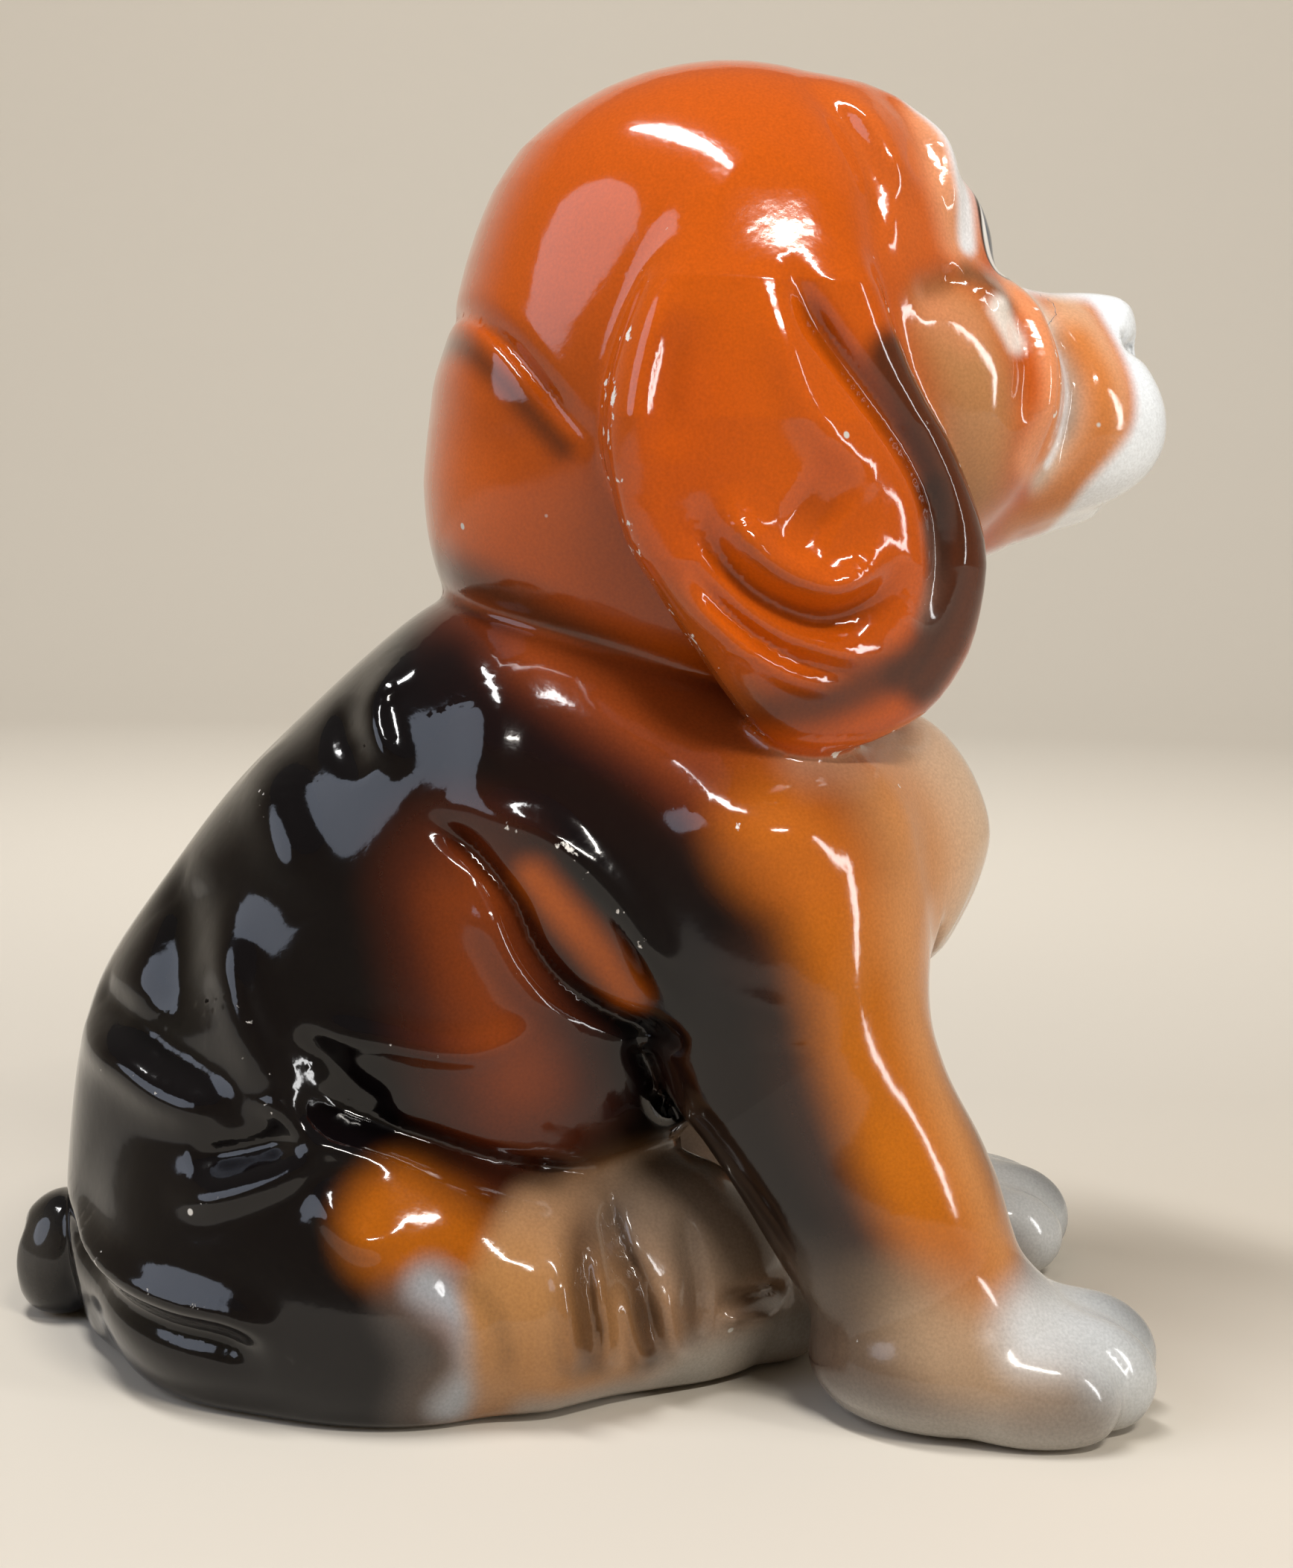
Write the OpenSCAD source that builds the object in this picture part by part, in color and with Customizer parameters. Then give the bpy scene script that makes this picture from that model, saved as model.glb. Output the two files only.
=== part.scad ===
// Seated puppy figurine in glazed ceramic: slip castings stuck together along flat joint faces.
// Millimetres. The origin lies on the resting plane, under the middle of the figure. +Z is up,
// the nose points towards -Y, and the dog's left side is towards +X.

/* [Figure] */
// Height of the crown above the resting plane
figure_h = 155; // [125:1:190]
// Length of the seated figure from the back of the rump to the tip of the muzzle
figure_l = 132; // [108:1:160]
// Width across the widest part of the haunches
figure_w = 84; // [68:1:102]

/* [Castings] */
// Thickness of the cast ceramic wall
wall = 4; // [3:0.25:5]
// Diameter of the vent hole in the base
vent_d = 10; // [6:0.5:14]
// Distance of the vent hole's centre behind the origin
vent_y = 36; // [30:1:40]

/* [Head] */
// Turn of the head to the dog's left, in degrees
head_turn = 10; // [0:1:14]
// Slope of the neck joint, higher at the nape, in degrees
neck_slope = 24; // [18:1:28]
// Width of the neck joint
neck_w = 53; // [44:1:56]
// Length of the neck joint from nape to throat, along its slope
neck_l = 62; // [52:1:66]
// Distance from the head's middle plane to the flat that each ear is stuck to
ear_pad = 29; // [24:0.5:30.5]
// Thickness of an ear at its fullest
ear_thick = 12; // [8:0.5:15]
// Height of an ear from its root to its lowest edge
ear_h = 55; // [46:1:58]

/* [Forelegs] */
// Distance from the middle plane to the centre of a forepaw
paw_x = 30; // [25:1:36]
// Width of a forepaw
paw_w = 29; // [22:1:34]
// Length of a forepaw
paw_l = 37; // [30:1:44]
// Height of a forepaw over its toes
paw_h = 15; // [12:0.5:18]
// Width of the upper end of a foreleg
shoulder_w = 26; // [22:0.5:32]
// Length of the upper end of a foreleg, along its sloping joint
shoulder_l = 35; // [28:0.5:38]
// Clearance round the upper end of a foreleg, in its seat
seat_gap = 1; // [0.5:0.25:2]
// Slope of the joint between a foreleg and the chest, in degrees
leg_slope = 41; // [36:1:46]
// Half the width of the chest keel that stays between the forelegs
keel_x = 11; // [7:0.5:12]

/* [Hind feet] */
// Distance of the hind feet's joint face behind the origin
foot_y = 2; // [-2:0.5:6]
// Length of a hind foot in front of its joint face
foot_l = 30; // [22:0.5:30]
// Width of a hind foot where it meets the haunch
foot_w = 24; // [18:0.5:26]
// Height of a hind foot where it meets the haunch
foot_h = 25; // [20:0.5:26]
// Clearance over a hind foot, under the belly
foot_gap = 0.5; // [0.3:0.1:1.5]

/* [Tail] */
// How far the tail stands out behind the rump
tail_l = 8; // [5:0.5:11]
// Width of the tail
tail_w = 15; // [10:0.5:22]
// Height of the tail's top above the resting plane
tail_h = 15.5; // [12:0.5:20]

/* [Hidden] */

// The design was laid out at these overall sizes. All sculpted volumes stretch from them.
design_h = 155;
design_l = 132;
design_w = 84;
stretch = [figure_w / design_w, figure_l / design_l, figure_h / design_h];

// Rear face of the rump, which carries the tail
rump_y = 62 * stretch.y;

// Numbers of points round a ring, and of rings
body_sides = 40;
head_sides = 48;
limb_sides = 28;
body_rings = 26;
head_rings = 24;
inner_rings = 13;

// How softly neighbouring volumes run into each other
soft = 1.6;

// Colours of the glaze
black_glaze = "#17120f";
orange_glaze = "#c4520a";
amber_glaze = "#c06a20";
cream_glaze = "#cfc4ae";

// ---------------------------------------------------------------- small helpers

function total(list, i = 0) = i < len(list) ? list[i] + total(list, i + 1) : 0;
function stretched(p) = [p.x * stretch.x, p.y * stretch.y, p.z * stretch.z];
function shared(u, v) = [u.x / v.x, u.y / v.y, u.z / v.z];

// Turns a point about a vertical line through the neck joint, by the head's turn
function turned(p, angle) = [p.x * cos(angle) - p.y * sin(angle), p.x * sin(angle) + p.y * cos(angle), p.z];

// A smooth curve through a list of stations, at position t from 0 to 1
function curve(list, t) =
    let (
        last = len(list) - 1,
        i = min(floor(t * last), last - 1),
        f = t * last - i,
        a = list[max(i - 1, 0)],
        b = list[i],
        c = list[i + 1],
        d = list[min(i + 2, last)]
    )
    b + f / 2 * (c - a) + f * f * (a - 2.5 * b + 2 * c - d / 2) + f * f * f * (1.5 * (b - c) + (d - a) / 2);

// Far side of one volume, an ellipsoid [centre, radii], seen from p along direction d
function reach(p, d, volume) =
    let (
        q = shared(p - volume[0], volume[1]),
        e = shared(d, volume[1]),
        disc = (q * e) * (q * e) - (e * e) * (q * q - 1)
    )
    disc <= 0 ? 0 : max(0, (-(q * e) + sqrt(disc)) / (e * e));

// Far side of a group of volumes that run softly into each other
function outline(p, d, volumes) =
    let (
        reaches = [for (v = volumes) reach(p, d, v)],
        far = max(reaches)
    )
    far + soft * ln(total([for (r = reaches) exp((r - far) / soft)]));

// Distance along d to a plane with the given normal that lies `offset` from the origin
function to_plane(p, d, normal, offset) =
    let (toward = normal * d)
    toward > 0.001 ? max(0, (offset - normal * p) / toward) : 1000;

function mirrored(volumes) = [for (v = volumes) each [v, [[-v[0].x, v[0].y, v[0].z], v[1]]]];
function sized(volumes, shrink) = [for (v = volumes) [stretched(v[0]), stretched(v[1]) - shrink * [1, 1, 1]]];

// Directions round a ring that leans by `slope`, closer together towards the nose by `crowd` degrees
function ring_direction(i, sides, slope, crowd) =
    let (
        even = 360 * i / sides,
        a = even - crowd * cos(even)
    )
    [cos(a), sin(a) * cos(slope), sin(a) * sin(slope)];

function backwards(rings) = [for (k = [len(rings) - 1:-1:0]) rings[k]];

// Closed solid through a list of rings, with a flat cap on the first and the last
module loft(rings) {
    n = len(rings[0]);
    m = len(rings);
    sides = [
        for (k = [0:m - 2])
            for (i = [0:n - 1])
                let (a = k * n + i, b = k * n + (i + 1) % n)
                each [[a, a + n, b], [b, a + n, b + n]]
    ];
    first_cap = [for (i = [0:n - 1]) i];
    last_cap = [for (i = [n - 1:-1:0]) (m - 1) * n + i];
    polyhedron([for (ring = rings) each ring], concat(sides, [first_cap, last_cap]), convexity = 8);
}

// Draws a piece modelled on the dog's left, on the left (1) or mirrored to the right (-1)
module on_side(side) {
    if (side > 0) children();
    else mirror([1, 0, 0]) children();
}

// ---------------------------------------------------------------- neck joint

neck_centre = stretched([0, -12, 81.7]);

// Ring of the neck joint, `inset` from its outer edge
function neck_ring(sides, crowd, inset) = [
    for (i = [0:sides - 1])
        let (d = ring_direction(i, sides, 0, crowd))
        neck_centre + [d.x * (neck_w / 2 - inset),
                       d.y * (neck_l / 2 - inset) * cos(neck_slope),
                       d.y * (neck_l / 2 - inset) * sin(neck_slope)]
];

// ---------------------------------------------------------------- body

// Volumes of the body, each [centre, radii]
body_middle = [
    [[0, 30, 14], [30, 34, 30]],
    [[0, 28, 34], [34, 34, 30]],
    [[0, 12, 56], [32, 37, 28]],
    [[0, 2, 72], [28, 28, 18]],
    [[0, -18, 58], [25, 32, 18]],
    [[0, 4, 40], [33, 24, 20]]
];
body_pairs = [
    [[23, 22, 12], [18, 28, 28]],
    [[16, -12, 60], [18, 26, 19]],
    [[22, -25, 50], [18, 19, 25]]
];

// Centre line of the body from below its base up to the neck, each [y, z, slope in degrees]
body_line = [[30, -2, 0], [24, 22, 6], [8, 46, 14], [-5, 66, 20], [-11, 79, 23]];
// The cavity follows it from a wall above the resting plane
cavity_line = concat([[30, wall / stretch.z, 0]], [for (k = [1:len(body_line) - 1]) body_line[k]]);

// Joint plane of the forelegs: its normal points up into the body
leg_normal = [0, sin(leg_slope), cos(leg_slope)];
leg_centre = [0, -27 * stretch.y, 41 * stretch.z];
leg_offset = leg_normal * leg_centre;
leg_top_half = shoulder_l / 2;
seat_rear = leg_centre.y + (leg_top_half + seat_gap) * cos(leg_slope);
foot_seat_z = foot_h + foot_gap;

// Keeps the cavity a wall away from the joint faces of the hind feet and the forelegs
function clear_of_seats(p, d, far) =
    let (
        tip = p + far * d,
        low = tip.z < foot_seat_z + wall,
        back = low && tip.y < foot_y + wall ? max(1, (foot_y + wall - p.y) / d.y) : far,
        plane = to_plane(p, d, -leg_normal, -leg_offset - wall),
        behind = to_plane(p, d, [0, -1, 0], -seat_rear - wall)
    )
    min(back, max(plane, behind));

function body_ring(line, t, shrink) =
    let (
        station = curve(line, t),
        p = stretched([0, station.x, station.y]),
        slope = station.z,
        volumes = concat(sized(body_middle, shrink), sized(mirrored(body_pairs), shrink))
    )
    [
        for (i = [0:body_sides - 1])
            let (
                d = ring_direction(i, body_sides, slope, 0),
                far = min(outline(p, d, volumes), to_plane(p, d, [0, 1, 0], rump_y - shrink)),
                kept = shrink > 0 ? clear_of_seats(p, d, far) : far
            )
            p + kept * d
    ];

module body_casting() {
    outside = [for (k = [0:body_rings]) body_ring(body_line, k / body_rings, 0)];
    seam = [neck_ring(body_sides, 0, 0), neck_ring(body_sides, 0, wall)];
    inside = [for (k = [inner_rings:-1:0]) body_ring(cavity_line, k / inner_rings, wall)];
    reach_out = figure_w + figure_l;
    color(black_glaze)
    difference() {
        loft(concat(outside, seam, inside));
        // Flat base
        translate([-reach_out / 2, -reach_out / 2, -20])
            cube([reach_out, reach_out, 20]);
        // Seat of the hind feet
        translate([-reach_out / 2, foot_y - reach_out, -20])
            cube([reach_out, reach_out, foot_seat_z + 20]);
        // Seats of the forelegs, one each side of the keel
        for (side = [-1, 1])
            on_side(side)
            translate([keel_x, leg_centre.y, leg_centre.z])
                rotate([-leg_slope, 0, 0])
                translate([0, -figure_l / 2, -figure_h / 3])
                cube([figure_w, figure_l / 2 + leg_top_half + seat_gap, figure_h / 3]);
        // Vent hole through the floor
        translate([0, vent_y, -1])
            cylinder(d = vent_d, h = 3 * wall, $fn = 48);
    }
}

// ---------------------------------------------------------------- head

head_middle = [
    [[0, -8, 105], [28, 27, 24]],
    [[0, -17, 126], [33, 33, 29]],
    [[0, -20, 92], [25, 22, 20]],
    [[0, -46, 119], [16, 23, 11.5]],
    [[0, -44, 107], [14, 20, 11]],
    [[0, -62, 123], [8, 9, 7]]
];
head_pairs = [
    [[13, -36, 111], [15, 18, 17]],
    [[7, -55, 112], [10, 14, 10]]
];

// Centre line of the head, each [y, z, slope in degrees]
head_line = [[-12, 85, 22], [-14, 101, 12], [-16, 122, 2], [-17, 140, 0], [-17, 154.5, 0]];
head_crowd = 32;

function head_ring(t, shrink) =
    let (
        station = curve(head_line, t),
        p = stretched([0, station.x, station.y]),
        slope = station.z,
        volumes = concat(sized(head_middle, shrink), sized(mirrored(head_pairs), shrink)),
        seen_from = turned(p - neck_centre, -head_turn) + neck_centre,
        side = ear_pad - shrink
    )
    [
        for (i = [0:head_sides - 1])
            let (
                d = ring_direction(i, head_sides, slope, head_crowd),
                e = turned(d, -head_turn),
                far = outline(seen_from, e, volumes),
                left = to_plane(seen_from, e, [1, 0, 0], side),
                right = to_plane(seen_from, e, [-1, 0, 0], side)
            )
            p + min(far, left, right) * d
    ];

module head_casting() {
    cavity_top = 1 - 1.5 * wall / (figure_h - neck_centre.z);
    outside = [for (k = [head_rings:-1:0]) head_ring(sin(90 * k / head_rings), 0)];
    seam = [neck_ring(head_sides, head_crowd, 0), neck_ring(head_sides, head_crowd, wall)];
    inside = [for (k = [0:inner_rings]) head_ring(cavity_top * k / inner_rings, wall)];
    color(orange_glaze)
        loft(backwards(concat(outside, seam, inside)));
}

// ---------------------------------------------------------------- ears

// Outline of an ear against the side of the head: [forward of the nape side, below the root]
ear_outline = [[-8, 0], [-17, -5], [-24, -17], [-31, -31], [-33, -42], [-29, -51], [-20, -55],
               [-11, -52], [-2, -42], [5, -27], [6, -12], [1, -2], [-8, 0]];
ear_design_h = 55;
ear_root_z = 131.5 * stretch.z;
ear_y = -6 * stretch.y;

function ear_point(t, size) =
    let (
        spot = curve(ear_outline, t),
        middle = [-14, -28],
        p = middle + size * (spot - middle)
    )
    [ear_y + p.x * stretch.y, ear_root_z + p.y * ear_h / ear_design_h];

module ear(side) {
    steps = 8;
    rings = [
        for (k = [0:steps])
            let (lift = sin(90 * k / (steps + 0.5)), size = sqrt(1 - lift * lift))
            [
                for (i = [0:head_sides - 1])
                    let (p = ear_point(i / head_sides, size))
                    [ear_pad + ear_thick * lift, p.x, p.y]
            ]
    ];
    color(orange_glaze)
        translate(neck_centre)
        rotate([0, 0, head_turn])
        translate(-neck_centre)
        on_side(side)
        loft(rings);
}

// ---------------------------------------------------------------- forelegs

// Ring of a limb: centre, slope, half width, half length, and how much broader the toes are
function limb_ring(centre, slope, half_w, half_l, toes) = [
    for (i = [0:limb_sides - 1])
        let (d = ring_direction(i, limb_sides, slope, 0))
        centre + [d.x * half_w * (1 - toes * sin(360 * i / limb_sides)), d.y * half_l, d.z * half_l]
];

module foreleg(side) {
    paw_y = -47.5 * stretch.y;
    top = [keel_x + seat_gap + shoulder_w / 2, leg_centre.y, leg_centre.z];
    // Each [x, y, z, slope, half width, half length, toe spread]
    stations = [
        [paw_x, paw_y, 0, 0, paw_w * 0.46, paw_l * 0.47, 0.12],
        [paw_x, paw_y, paw_h * 0.35, 0, paw_w / 2, paw_l / 2, 0.12],
        [paw_x, paw_y + paw_l * 0.05, paw_h * 0.75, -2, paw_w * 0.45, paw_l * 0.42, 0.08],
        [paw_x, paw_y + paw_l * 0.18, paw_h * 1.15, -8, paw_w * 0.38, paw_l * 0.33, 0.02],
        [(paw_x + top.x) / 2, top.y * 0.4 + paw_y * 0.6 + 2, (paw_h * 1.1 + top.z) / 2, -leg_slope * 0.5,
         shoulder_w * 0.44, paw_l * 0.36, 0],
        [top.x, top.y, top.z, -leg_slope, shoulder_w / 2, leg_top_half, 0]
    ];
    steps = 16;
    rings = [
        for (k = [0:steps])
            let (s = curve(stations, k / steps))
            limb_ring([s[0], s[1], s[2]], s[3], s[4], s[5], s[6])
    ];
    color(amber_glaze)
        on_side(side)
        loft(rings);
}

// ---------------------------------------------------------------- hind feet

// A hind foot runs forward and inward from its joint face, with a flat sole
module hind_foot(side) {
    // Each [share of the length, half width, centre height, half height]
    stations = [
        [0, 0.50, 0.45, 0.55],
        [0.30, 0.46, 0.43, 0.53],
        [0.55, 0.42, 0.38, 0.46],
        [0.80, 0.38, 0.30, 0.34],
        [0.95, 0.28, 0.26, 0.26],
        [1, 0.10, 0.25, 0.10]
    ];
    inner = 0.8;
    steps = 12;
    rings = [
        for (k = [0:steps])
            let (
                s = curve(stations, k / steps),
                y = foot_y - foot_l * s[0],
                half = foot_w * s[1],
                x = max(inner + half, (14 + inner) * (1 - s[0]) + foot_w * 0.44)
            )
            [
                for (i = [0:limb_sides - 1])
                    let (a = 360 * i / limb_sides)
                    [x + half * cos(a), y, max(0, foot_h * (s[2] + s[3] * sin(a)))]
            ]
    ];
    color(cream_glaze)
        on_side(side)
        loft(rings);
}

// ---------------------------------------------------------------- tail

module tail() {
    steps = 8;
    rings = [
        for (k = [0:steps])
            let (lift = sin(90 * k / (steps + 0.5)), size = sqrt(1 - lift * lift))
            [
                for (i = [0:limb_sides - 1])
                    let (
                        a = 360 * i / limb_sides,
                        leaf = 1 - 0.25 * sin(a)
                    )
                    [tail_w / 2 * size * leaf * cos(a),
                     rump_y + tail_l * lift,
                     tail_h / 2 * (1 + size * sin(a)) * 0.96 + 0.3]
            ]
    ];
    color(black_glaze)
        loft(rings);
}

body_casting();
head_casting();
ear(1);  // ear_left
ear(-1);  // ear_right
foreleg(1);  // foreleg_left
foreleg(-1);  // foreleg_right
hind_foot(1);  // hind_foot_left
hind_foot(-1);  // hind_foot_right
tail();
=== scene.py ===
"""Seated puppy figurine in glazed earthenware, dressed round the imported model.

Sizes of the clay are in millimetres, in the model's frame: +Z up, the nose towards -Y, the
dog's left side towards +X. Meshes are made in metres. The clay is one smooth surface, cut along
the joint faces of the castings, so that every casting is a closed piece of its own.
"""
import logging
import math
from dataclasses import dataclass
from enum import Enum
from functools import partial
from itertools import product
from typing import Callable, Iterable, Sequence

import bmesh
import bpy
import numpy as np
from mathutils import Matrix, Vector


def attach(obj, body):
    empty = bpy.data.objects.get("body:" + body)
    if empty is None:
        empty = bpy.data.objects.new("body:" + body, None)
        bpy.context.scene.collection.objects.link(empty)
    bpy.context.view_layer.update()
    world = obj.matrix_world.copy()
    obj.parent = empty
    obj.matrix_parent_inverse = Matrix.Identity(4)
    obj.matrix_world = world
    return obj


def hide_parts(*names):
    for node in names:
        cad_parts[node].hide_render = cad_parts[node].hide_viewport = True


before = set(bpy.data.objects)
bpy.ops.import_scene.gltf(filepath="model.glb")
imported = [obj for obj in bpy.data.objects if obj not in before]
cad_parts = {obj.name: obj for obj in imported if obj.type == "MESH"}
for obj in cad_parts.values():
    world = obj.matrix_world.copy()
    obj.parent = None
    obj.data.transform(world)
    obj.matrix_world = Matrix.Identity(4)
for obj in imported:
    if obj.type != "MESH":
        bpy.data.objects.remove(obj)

Array = np.ndarray
Spot3 = tuple[float, float, float]
Spot2 = tuple[float, float]

MM = 0.001
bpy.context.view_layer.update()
LOG = logging.getLogger("puppy")

NECK_PIVOT_Y = -12.0  # the head turns about an upright line here, in mm
HEAD_TURN = 10.0  # degrees
FAR = 99.0  # mm, beyond any skin
UNSHAPED = 30.0  # mm, the distance given where there is no clay
REACH = 10.0  # mm, how far past its blend a lump still counts
HALF_FILLET = 0.6  # mm, what the blends add at the middle of a plain lump
# white slip of the blaze and the muzzle, also used for painted highlight lines on the brow and the cheek
SLIP_WHITE_AND_HIGHLIGHT = "#e6ebf0"


# ------------------------------------------------------------------ small helpers

def linear(hex_code: str) -> tuple[float, float, float]:
    """Turns an sRGB colour into linear light.

    Args:
        hex_code: six hexadecimal digits after a hash.

    Returns:
        Red, green and blue in linear light.
    """
    parts = [int(hex_code[i:i + 2], 16) / 255 for i in (1, 3, 5)]
    return tuple(c / 12.92 if c <= 0.04045 else ((c + 0.055) / 1.055) ** 2.4 for c in parts)


def rgba(hex_code: str) -> tuple[float, float, float, float]:
    """Gives an sRGB colour as the four linear numbers of a colour socket."""
    return (*linear(hex_code), 1.0)


def smooth(value: Array, low: float, high: float) -> Array:
    """Eases from 0 at low to 1 at high."""
    t = np.clip((value - low) / (high - low), 0.0, 1.0)
    return t * t * (3 - 2 * t)


def join(a: Array, b: Array, blend: float) -> Array:
    """Joins two clays, with a fillet of about the blend between them."""
    near = np.maximum(blend - np.abs(a - b), 0.0) / blend
    return np.minimum(a, b) - near * near * blend / 4


def trim(a: Array, b: Array, blend: float) -> Array:
    """Keeps the clay that lies in both, with a rounded edge."""
    return -join(-a, -b, blend)


def spin(degrees: float) -> Spot2:
    """Cosine and sine of an angle in degrees."""
    return math.cos(math.radians(degrees)), math.sin(math.radians(degrees))


def turn(points: Array, degrees: float) -> Array:
    """Turns points about a vertical line through the neck.

    Args:
        points: N x 3 places.
        degrees: the turn, positive from the dog's front to its left.

    Returns:
        The turned places.
    """
    c, s = spin(degrees)
    x, y = points[:, 0], points[:, 1] - NECK_PIVOT_Y
    return np.stack([c * x - s * y, s * x + c * y + NECK_PIVOT_Y, points[:, 2]], axis=1)


def curve(points: Sequence[Spot2], steps: int = 5) -> Array:
    """Runs a smooth line through a few places.

    Args:
        points: the places, in order.
        steps: how many short pieces each span has.

    Returns:
        M x 2 places along the line.
    """
    p = np.array(points, float)
    if len(p) < 3:
        return np.linspace(p[0], p[-1], steps + 1)
    p = np.vstack([2 * p[0] - p[1], p, 2 * p[-1] - p[-2]])
    line = []
    for a, b, c, d in zip(p, p[1:], p[2:], p[3:]):
        for t in np.arange(steps) / steps:
            line.append(b + t / 2 * (c - a) + t * t * (a - 2.5 * b + 2 * c - d / 2)
                        + t ** 3 * (1.5 * (b - c) + (d - a) / 2))
    return np.vstack([line, p[-2]])


def to_line(u: Array, v: Array, line: Array) -> tuple[Array, Array, Array]:
    """Measures places in the side view against a line.

    Args:
        u: places along the figure.
        v: heights.
        line: M x 2 places along the line.

    Returns:
        Distance to the line, the same signed by the side of the line (positive on its left),
        and the position along it from 0 to 1.
    """
    best = np.full(u.shape, 1e9)
    signed = np.zeros(u.shape)
    along = np.zeros(u.shape)
    lengths = np.hypot(*(line[1:] - line[:-1]).T)
    done, total = 0.0, max(lengths.sum(), 1e-9)
    for a, b, length in zip(line, line[1:], lengths):
        d = b - a
        t = np.clip(((u - a[0]) * d[0] + (v - a[1]) * d[1]) / max(length * length, 1e-9), 0, 1)
        du, dv = u - a[0] - t * d[0], v - a[1] - t * d[1]
        gap = np.hypot(du, dv)
        nearer = gap < best
        best = np.where(nearer, gap, best)
        side = np.sign(d[0] * dv - d[1] * du)
        signed = np.where(nearer, side * gap, signed)
        along = np.where(nearer, (done + t * length) / total, along)
        done += length
    return best, signed, along


def inside_outline(u: Array, v: Array, outline: Array) -> Array:
    """Signed distance to a closed outline, negative inside it.

    Args:
        u: places along the figure.
        v: heights.
        outline: M x 2 places round the outline.

    Returns:
        The signed distances.
    """
    gap = to_line(u, v, outline)[0]
    odd = np.zeros(u.shape, bool)
    for a, b in zip(outline, outline[1:]):
        if a[1] == b[1]:
            continue
        odd ^= ((a[1] > v) != (b[1] > v)) & (u < (b[0] - a[0]) * (v - a[1]) / (b[1] - a[1]) + a[0])
    return np.where(odd, -gap, gap)


# ------------------------------------------------------------------ modelling tools

@dataclass(frozen=True)
class Lump:
    """An egg of clay."""

    centre: Spot3
    radii: Spot3
    blend: float = 8.0

    def field(self, p: Array) -> Array:
        """Signed distance to the egg's skin, near enough close to it.

        Args:
            p: N x 3 places, in millimetres.

        Returns:
            The signed distances.
        """
        q = p - np.array(self.centre)
        r = np.array(self.radii)
        size = np.linalg.norm(q / r, axis=1)
        steep = np.linalg.norm(q / (r * r), axis=1)
        return size * (size - 1) / np.maximum(steep, 1e-6)

    def reach(self) -> tuple[Array, Array]:
        """Box outside which the egg can't matter."""
        margin = np.array(self.radii) + self.blend + REACH
        return np.array(self.centre) - margin, np.array(self.centre) + margin


@dataclass(frozen=True)
class Limb:
    """A tapered roll of clay between two round ends."""

    start: Spot3
    end: Spot3
    start_radius: float
    end_radius: float
    blend: float = 6.0

    def field(self, p: Array) -> Array:
        """Signed distance to the roll's skin.

        Args:
            p: N x 3 places, in millimetres.

        Returns:
            The signed distances.
        """
        a, b = np.array(self.start), np.array(self.end)
        t = np.clip((p - a) @ (b - a) / ((b - a) @ (b - a)), 0, 1)
        radius = self.start_radius + (self.end_radius - self.start_radius) * t
        return np.linalg.norm(p - a - t[:, None] * (b - a), axis=1) - radius

    def reach(self) -> tuple[Array, Array]:
        """Box outside which the roll can't matter.

        Returns:
            Its lowest and highest corners.
        """
        margin = max(self.start_radius, self.end_radius) + self.blend + REACH
        ends = np.array([self.start, self.end])
        return ends.min(axis=0) - margin, ends.max(axis=0) + margin


def build_up(p: Array, clays: Iterable[Lump | Limb]) -> Array:
    """Presses lumps and rolls together, one after another.

    Args:
        p: N x 3 places.
        clays: the lumps and rolls.

    Returns:
        Signed distance to the skin of the whole.
    """
    whole = np.full(len(p), UNSHAPED)
    for clay in clays:
        low, high = clay.reach()
        near = np.flatnonzero(np.all((p > low) & (p < high), axis=1))
        if len(near):
            whole[near] = join(whole[near], clay.field(p[near]), clay.blend)
    return whole


class Mark(Enum):
    """What a modelling tool leaves in the clay."""

    GROOVE = "groove"
    RIDGE = "ridge"
    FOLD = "fold"


@dataclass(frozen=True)
class Stroke:
    """One stroke of a modelling tool, drawn in the side view, in millimetres.

    A fold is a step: the clay on the left of the stroke's direction is raised, and it drops
    behind the edge on the right. The stroke marks only clay that lies beyond one distance from
    the middle plane and within another, and it tapers over a share of its length.
    """

    path: Sequence[Spot2]
    mark: Mark
    width: float
    height: float
    beyond: float = 4.0
    taper: float = 0.25
    depth: float = 0.0
    within: float = FAR

    def height_at(self, p: Array, line: Array) -> Array:
        """How far the stroke raises the skin at each place.

        Args:
            p: N x 3 places in the part's own frame.
            line: M x 2 places along the stroke.

        Returns:
            The heights.
        """
        raised = np.zeros(len(p))
        spread = 2.6 * self.width  # past this the bell is too low to matter
        low, high = line.min(axis=0) - spread, line.max(axis=0) + spread
        near = np.flatnonzero((p[:, 1] > low[0]) & (p[:, 1] < high[0])
                              & (p[:, 2] > low[1]) & (p[:, 2] < high[1]))
        if not len(near):
            return raised
        q = p[near]
        gap, signed, along = to_line(q[:, 1], q[:, 2], line)
        bell = np.exp(-(gap / self.width) ** 2)
        if self.mark is Mark.GROOVE:
            shape = -bell
        elif self.mark is Mark.RIDGE:
            shape = bell
        else:
            step = signed / self.width
            full = 2.33  # brings the top of the step to the stroke's height
            shape = step * np.exp(-step * step) * full * np.exp(-((gap - np.abs(signed)) / self.width) ** 2)
        ends = smooth(np.minimum(along, 1 - along), -0.02, self.taper)
        side = np.abs(q[:, 0])
        flank = smooth(side, self.beyond, self.beyond + 6) * (1 - smooth(side, self.within, self.within + 3))
        raised[near] = self.height * shape * ends * flank
        return raised


def to_side(path: Sequence[Spot2], depth: float, head_turn: float) -> Array:
    """Places a stroke that was laid out square to the figure onto a part that is turned.

    Args:
        path: places along the figure and heights.
        depth: how far towards the dog's left the stroke lies; negative is its right.
        head_turn: the turn of the part, in degrees.

    Returns:
        M x 2 places of the smooth line in the part's own side view.
    """
    line = curve(path)
    if not head_turn:
        return line
    places = np.stack([np.full(len(line), depth), line[:, 0], line[:, 1]], axis=1)
    return turn(places, -head_turn)[:, 1:]


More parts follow.
